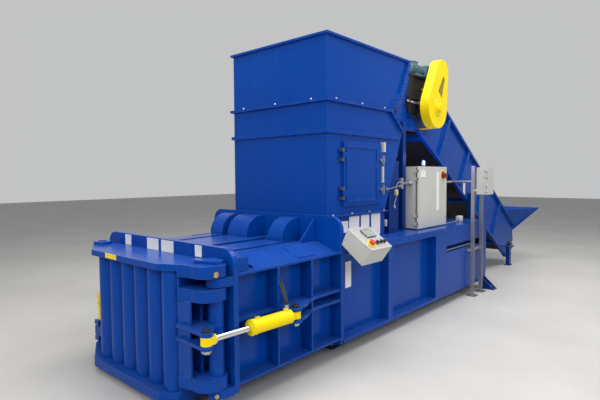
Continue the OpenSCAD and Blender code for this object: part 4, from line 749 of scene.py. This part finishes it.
bpy.ops.mesh.primitive_plane_add(size=0.001, location=(0, 0, 0))
window = bpy.context.object
window.name = "guard_window"
window_corners = ((2095, 2600), (2215, 2498), (2297, 2750), (2236, 2797))
for vertex, (x, z) in zip((0, 1, 3, 2), window_corners):
    window.data.vertices[vertex].co = spot(x, -749.4, z)
bpy.ops.object.mode_set(mode="EDIT")
bpy.ops.mesh.select_all(action="SELECT")
bpy.ops.mesh.subdivide(number_cuts=3)
bpy.ops.mesh.extrude_region_move(TRANSFORM_OT_translate={"value": (0, 0.0015, 0)})
bpy.ops.mesh.select_all(action="SELECT")
bpy.ops.mesh.normals_make_consistent(inside=False)
bpy.ops.object.mode_set(mode="OBJECT")
finish_piece(window, "frame", wire_mesh)
head_x = 2100
head_z = 2390
cap = turned_piece("guard_cap", (head_x, -756.2, head_z), (0, -1, 0),
                   [(98, -0.4), (98, 4), (92, 9), (74, 10), (70, 6), (55, 6), (53, 34), (47, 43),
                    (22, 45)], 48)
finish_piece(cap, "frame", yellow_enamel)

# Hopper
# Hexagon screws on washers close the doubled flanges down the slanted rear edges of the hopper.
screws = []
for start, end, count in (((1202, 2262), (1440, 2064), 4), ((1202, 2290), (1392, 2474), 4),
                          ((1400, 2490), (1592, 2852), 5)):
    for step in range(count):
        part = (step + 0.5) / count
        x = start[0] + (end[0] - start[0]) * part
        z = start[1] + (end[1] - start[1]) * part
        for side in (-1, 1):
            screws.append(turned_piece("flange_screw", (x, side * 663, z), (0, side, 0),
                                       [(15, -0.3), (15, 2.4), (10, 2.6), (10, 10), (8.6, 11.5)], 6))
finish_piece(join_pieces("slant_flange_screws", screws), "frame", blue_enamel)

# Conveyor panels
# The conveyor's side panels have a row of bolts through each of their ribs.
bolts = []
lean = math.radians(31)
rib_face = 556
for along in (728, 1528, 2328, 3128):
    for height in (-200, -70, 60, 190, 320):
        x = head_x + along * math.cos(lean) + height * math.sin(lean)
        z = head_z - along * math.sin(lean) + height * math.cos(lean)
        for side in (-1, 1):
            bolts.append(turned_piece("panel_bolt", (x, side * rib_face, z), (0, side, 0),
                                      [(13, -0.3), (13, 2.2), (9, 2.4), (9, 8), (7.6, 9.2)], 6))
finish_piece(join_pieces("conveyor_panel_bolts", bolts), "frame", blue_enamel)

# Door cylinder
# The barrel has a screwed gland at its rod end, a weld bead at its base, and a nut on each of its
# two adapters.
gland = turned_piece("rod_gland", cylinder_base + barrel_way * 424, barrel_way,
                     [(50, 0), (56, 1), (56, 6), (50, 8.5), (36, 8.8), (34, 11), (30, 12), (23, 12)],
                     40)
bead = turned_piece("barrel_bead", cylinder_base + barrel_way * 60, barrel_way,
                    [(46, 0), (53.4, 3), (54.2, 6), (53.4, 9), (52.2, 11)], 40)
finish_piece(join_pieces("barrel_gland", [gland, bead]), "door_cylinder",
             yellow_enamel)
nuts = []
for port in (base_port, rod_port):
    foot = cylinder_base + barrel_way * port
    nuts.append(turned_piece("port_nut", foot + Vector((0, 0, 68.4)), (0, 0, 1),
                             [(17, -6), (17, 0), (14, 1)], 6))
finish_piece(join_pieces("port_nuts", nuts), "door_cylinder", zinc_plate)

# Gearmotor
# The gearmotor lies on the head plate. Its barrel has thin cooling fins and a turned fan cowl, and a
# terminal box with a cable gland sits on the barrel.
motor_y = -500
motor_z = 2850
fins = []
for number in range(11):
    fins.append(turned_piece("fin", (1836 + 23 * number, motor_y, motor_z), (1, 0, 0),
                             [(64, 0), (73, 0.6), (73, 3.4), (64, 4)], 32))
cowl = turned_piece("fan_cowl", (1774, motor_y, motor_z), (1, 0, 0),
                    [(30, 0), (58, 1), (68, 6), (72, 14), (72, 46), (66, 48)], 40)
for number in range(5):
    inner = 14 + 9 * number
    outer = 16 + 9 * number
    fins.append(turned_piece("cowl_ring", (1772.6, motor_y, motor_z), (1, 0, 0),
                             [(inner, 0), (outer, 0), (outer, 2.4), (inner, 2.4)], 32))
finish_piece(join_pieces("motor_fins", fins + [cowl]), "frame", motor_coat)
lid = block_piece("terminal_lid", (1896, -544, 2938), (2004, -456, 2950), 3)
finish_piece(lid, "frame", motor_coat)
gland = turned_piece("terminal_gland", (1950, -457, 2918), (0, 1, 0),
                     [(13, -4), (13, 6), (10, 8), (10, 16), (7, 20)], 12)
bolts = [gland]
for number in range(6):
    angle = math.radians(60 * number + 30)
    place = (2200 + 48 * math.cos(angle), -624, motor_z + 48 * math.sin(angle))
    bolts.append(hex_bolt(place, (0, -1, 0), 13))
for x in (1904, 1996):
    for y in (-538, -462):
        bolts.append(turned_piece("screw", (x, y, 2950), (0, 0, 1),
                                  [(4.5, -0.3), (4.5, 2), (3, 3)], 12))
finish_piece(join_pieces("motor_bolts", bolts), "frame", zinc_plate)

# Shaft bearings
# Each flanged bearing is held by four bolts and has a grease nipple on its housing.
parts = []
for x, z in ((head_x, head_z), (5571.5, 304.1)):
    for side in (-1, 1):
        face = side * 536.3
        for dx in (-58, 58):
            for dz in (-58, 58):
                parts.append(hex_bolt((x + dx, face, z + dz), (0, side, 0), 19))
        parts.append(turned_piece("nipple", (x + 30, side * 552, z + 45), (0.5, 0, 0.8),
                                  [(4, 0), (4, 8), (2.6, 9), (3.6, 12), (2, 14)], 10))
finish_piece(join_pieces("bearing_bolts", parts), "frame", zinc_plate)

# Anchor bolts
# Each foot is held by one stud with its nut and washer.
studs = []
for x, y in ((170, 620), (3340, 975)):
    for side in (-1, 1):
        studs.append(turned_piece("washer", (x, side * y, 14), (0, 0, 1),
                                  [(22, 0.2), (22, 3.4), (16, 3.6)], 24))
        studs.append(turned_piece("nut", (x, side * y, 17), (0, 0, 1),
                                  [(17, 0), (17, 15), (14.5, 16.4), (10, 16.6)], 6))
        studs.append(turned_piece("stud", (x, side * y, 2), (0, 0, 1),
                                  [(9.8, 0), (9.8, 44), (8.6, 46)], 20))
finish_piece(join_pieces("anchor_studs", studs), "frame", zinc_plate)

# Pump unit
# The tank on the deck has a bolted lid, a filler cap and a finned motor.
lid_top = 1214
pump_y = 40
pump_z = 1340
parts = [block_piece("tank_lid", (2508, -312, 1202), (3272, 432, lid_top), 2)]
for number in range(13):
    parts.append(turned_piece("fin", (2622 + 22 * number, pump_y, pump_z), (1, 0, 0),
                              [(114, 0), (124, 0.6), (124, 3.4), (114, 4)], 32))
parts.append(turned_piece("fan_cowl", (2574, pump_y, pump_z), (1, 0, 0),
                          [(40, 0), (100, 2), (118, 10), (124, 20), (124, 44), (116, 46)], 40))
# The tank's lid and motor take the darker blue with painted shade.
finish_piece(join_pieces("tank_lid_and_fins", parts), "frame", painted_shade_blue)
parts = [turned_piece("filler_cap", (3110, 260, 1213), (0, 0, 1),
                      [(44, 0), (44, 8), (34, 9), (34, 44), (40, 45), (40, 66), (36, 70)], 32)]
lid_bolts = [(x, y) for x in range(2540, 3260, 118) for y in (-296, 416)]
lid_bolts += [(x, y) for x in (2524, 3256) for y in (-180, 60, 300)]
for x, y in lid_bolts:
    parts.append(hex_bolt((x, y, lid_top), (0, 0, 1), 15))
finish_piece(join_pieces("tank_fittings", parts), "frame", zinc_plate)

# Main cylinder
# The cylinder's end flange is bolted to the rear bulkhead with a ring of twelve screws round a
# turned end cap.
rear_x = 3490
cylinder_z = 540
ring_radius = 145
parts = []
for number in range(12):
    angle = math.radians(30 * number + 15)
    place = (rear_x, ring_radius * math.cos(angle), cylinder_z + ring_radius * math.sin(angle))
    parts.append(hex_bolt(place, (1, 0, 0), 20))
finish_piece(join_pieces("cylinder_flange_bolts", parts), "frame", zinc_plate)
cap = turned_piece("cylinder_cap", (rear_x, 0, cylinder_z), (1, 0, 0),
                   [(124, -0.4), (124, 8), (118, 12), (70, 14), (66, 20), (30, 21)], 48)
finish_piece(cap, "frame", blue_enamel)

# Take-up screws
# Beside each head bearing a bright threaded rod runs through the end block, with a nut on each side
# of it, to a lug.
parts = []
thread = []
thread_pitch = 6
for number in range(52):
    thread.append((9.2, thread_pitch * number))
    thread.append((10.4, thread_pitch * number + thread_pitch / 2))
rod_y = 549
rod_z = 2452
for side in (-1, 1):
    parts.append(turned_piece("take_up_rod", (1722, side * rod_y, rod_z), (1, 0, 0), thread, 12))
    for x in (1733, 1770):
        parts.append(turned_piece("take_up_nut", (x, side * rod_y, rod_z), (1, 0, 0),
                                  [(15, 0), (17, 1.4), (17, 14.6), (15, 16)], 6))
    low_y, high_y = sorted((side * 536.4, side * 562))
    parts.append(block_piece("take_up_lug", (2022, low_y, 2432), (2048, high_y, 2472), 3))
finish_piece(join_pieces("take_up_screws", parts), "frame", zinc_plate)

# Hinge screws
# Two yellow zinc plated screws sit at the door's hinge. The one on the door's arm is small and low,
# to clear the flange's ear when the door is fully open.
yellow_zinc = metal("yellow_zinc", (0.72, 0.56, 0.22), 0.3, (6, 6, 6))
screw = turned_piece("low_head_screw", (-1333.8, -848.2, 945), (0, -1, 0),
                     [(22, -0.3), (22, 1.6), (15, 1.8), (15, 4.8), (13.4, 5.4)], 6)
finish_piece(screw, "door", yellow_zinc)
screw = hex_bolt((-1324.6, -827.0, 127), (-0.61, -0.79, 0), 21)
screw.name = "hinge_screw"
finish_piece(screw, "frame", yellow_zinc)

# Small boxes
# A sensor and a clip sit on the leg plate under the conveyor, a clip on the hopper, a box on the
# deck, a cover on the side of the leg and a bare plate on the conveyor's panel.
sensor_coat = painted("sensor_coat", (0.50, 0.55, 0.20), (0.5, 0.5, 0.4), roughness=0.4, dust=0.1,
                      edge=0.001)
sensor = block_piece("sensor", (1306, -657, 1366), (1342, -625.2, 1423), 3)
rim_face(sensor, (0, -1, 0), 0.005, 0.002)
finish_piece(sensor, "frame", sensor_coat)
cable_glands = (
    ((1324, -642, 1362), (0, 0, 1), [(7, -6), (9, 0), (9, 6), (8, 7)]),
    ((1324, -642, 1420), (0, 0, 1), [(8, 0), (9, 2), (9, 8), (6, 13)]),
    ((2451, -660, 1010), (1, 0, 0), [(12, 0), (12, 8), (9, 14)]),
    ((2992, -650, 974), (-1, 0, 0), [(12, 0), (12, 8), (9, 14)]),
    ((1404, -645, 1466), (-1, 0, 0), [(10, 0), (10, 10), (7, 16)]),
    ((1404, -645, 1506), (-1, 0, 0), [(10, 0), (10, 10), (7, 16)]),
    ((1120, -643, 1438), (1, 0, 0), [(9, 0), (11, 1), (11, 12), (7, 18)]),
    ((1282, -642, 1240), (0, 0, 1), [(9, 0), (11, 1), (11, 12), (7, 20)]))
parts = [turned_piece("gland", where, way, steps, 12) for where, way, steps in cable_glands]
parts.append(block_piece("hopper_clip", (1104, -653, 1424), (1121, -633.2, 1452), 3))
parts.append(block_piece("leg_clip", (1268, -653, 1222), (1296, -625.2, 1241), 3))
finish_piece(join_pieces("cable_glands", parts), "frame", zinc_plate)
boxes = []
for low, high, way in (((2990, -676, 950.2), (3085, -612, 1022), (0, -1, 0)),
                       ((1183, -602, 1030), (1199.8, -552, 1104), (-1, 0, 0))):
    box = block_piece("box", low, high, 4)
    rim_face(box, way, 0.006, 0.002)
    boxes.append(box)
finish_piece(join_pieces("small_white_boxes", boxes), "frame", plate_white)
bare_plate("panel_plate", (3452, -524.4, 1266), (3528, -522.2, 1482), (0, -1, 0), "frame", plate_white)

# Rod end
# The end of the piston rod is an eye with a shank and a collar, yellow like the barrel.
rod_end = Vector((-1445, -885, 550))
eye = turned_piece("rod_eye", rod_end - Vector((0, 0, 28.4)), (0, 0, 1),
                   [(33, 0), (38.5, 2.6), (38.5, 54.2), (33, 56.8)], 40)
collar = turned_piece("rod_collar", rod_end - barrel_way * 51.6, -barrel_way,
                      [(28, 0), (31.6, 1.6), (31.6, 13), (28, 15), (22.8, 15.2)], 40)
clear_selection()
bpy.ops.mesh.primitive_cube_add(size=1, location=spot(*(rod_end - barrel_way * 31)),
                                rotation=(0, 0, barrel_turn))
shank = bpy.context.object
shank.scale = (0.043, 0.0568, 0.0528)
bpy.ops.object.transform_apply(location=True, rotation=True, scale=True)
break_edges(4)
finish_piece(join_pieces("rod_eye", [eye, collar, shank]), "door_rod", yellow_enamel)

# Pin heads
# Both pins of the door cylinder have a dark hexagon head above the lugs and a plated nut below.
head_steps = [(31, 0), (33, 1.4), (33, 15), (31, 16.6), (16.3, 16.8), (16.3, 25), (15, 26)]
nut_steps = [(31, 0), (33, 1.4), (33, 20.6), (31, 22.4), (16.3, 22.6), (16.3, 30.4), (15, 31)]
lug_face = Vector((0, 0, 56.3))
for name, place, body in (("rod_pin", rod_end, "door"), ("base_pin", cylinder_base, "door_cylinder")):
    head = turned_piece(name + "_head", place + lug_face, (0, 0, 1), head_steps, 6)
    finish_piece(head, body, oiled_iron)
    nut = turned_piece(name + "_nut", place - lug_face, (0, 0, -1), nut_steps, 6)
    finish_piece(nut, body, zinc_plate)

# Hose ends
# Each hose has a steel ferrule at both of its ends.
ferrules = []
for start, top in hose_ends:
    ferrules.append(turned_piece("ferrule", start, (0, 0, 1),
                                 [(8, 0), (9, 1), (9, 5), (8.2, 6), (8.8, 8), (8.8, 18), (8.2, 21),
                                  (7.6, 22)], 14))
    ferrules.append(turned_piece("ferrule", top, (0, 0, -1),
                                 [(11, 0), (11, 8), (9.6, 9), (9.6, 24), (8.4, 26)], 14))
finish_piece(join_pieces("hose_ferrules", ferrules), "frame", zinc_plate)
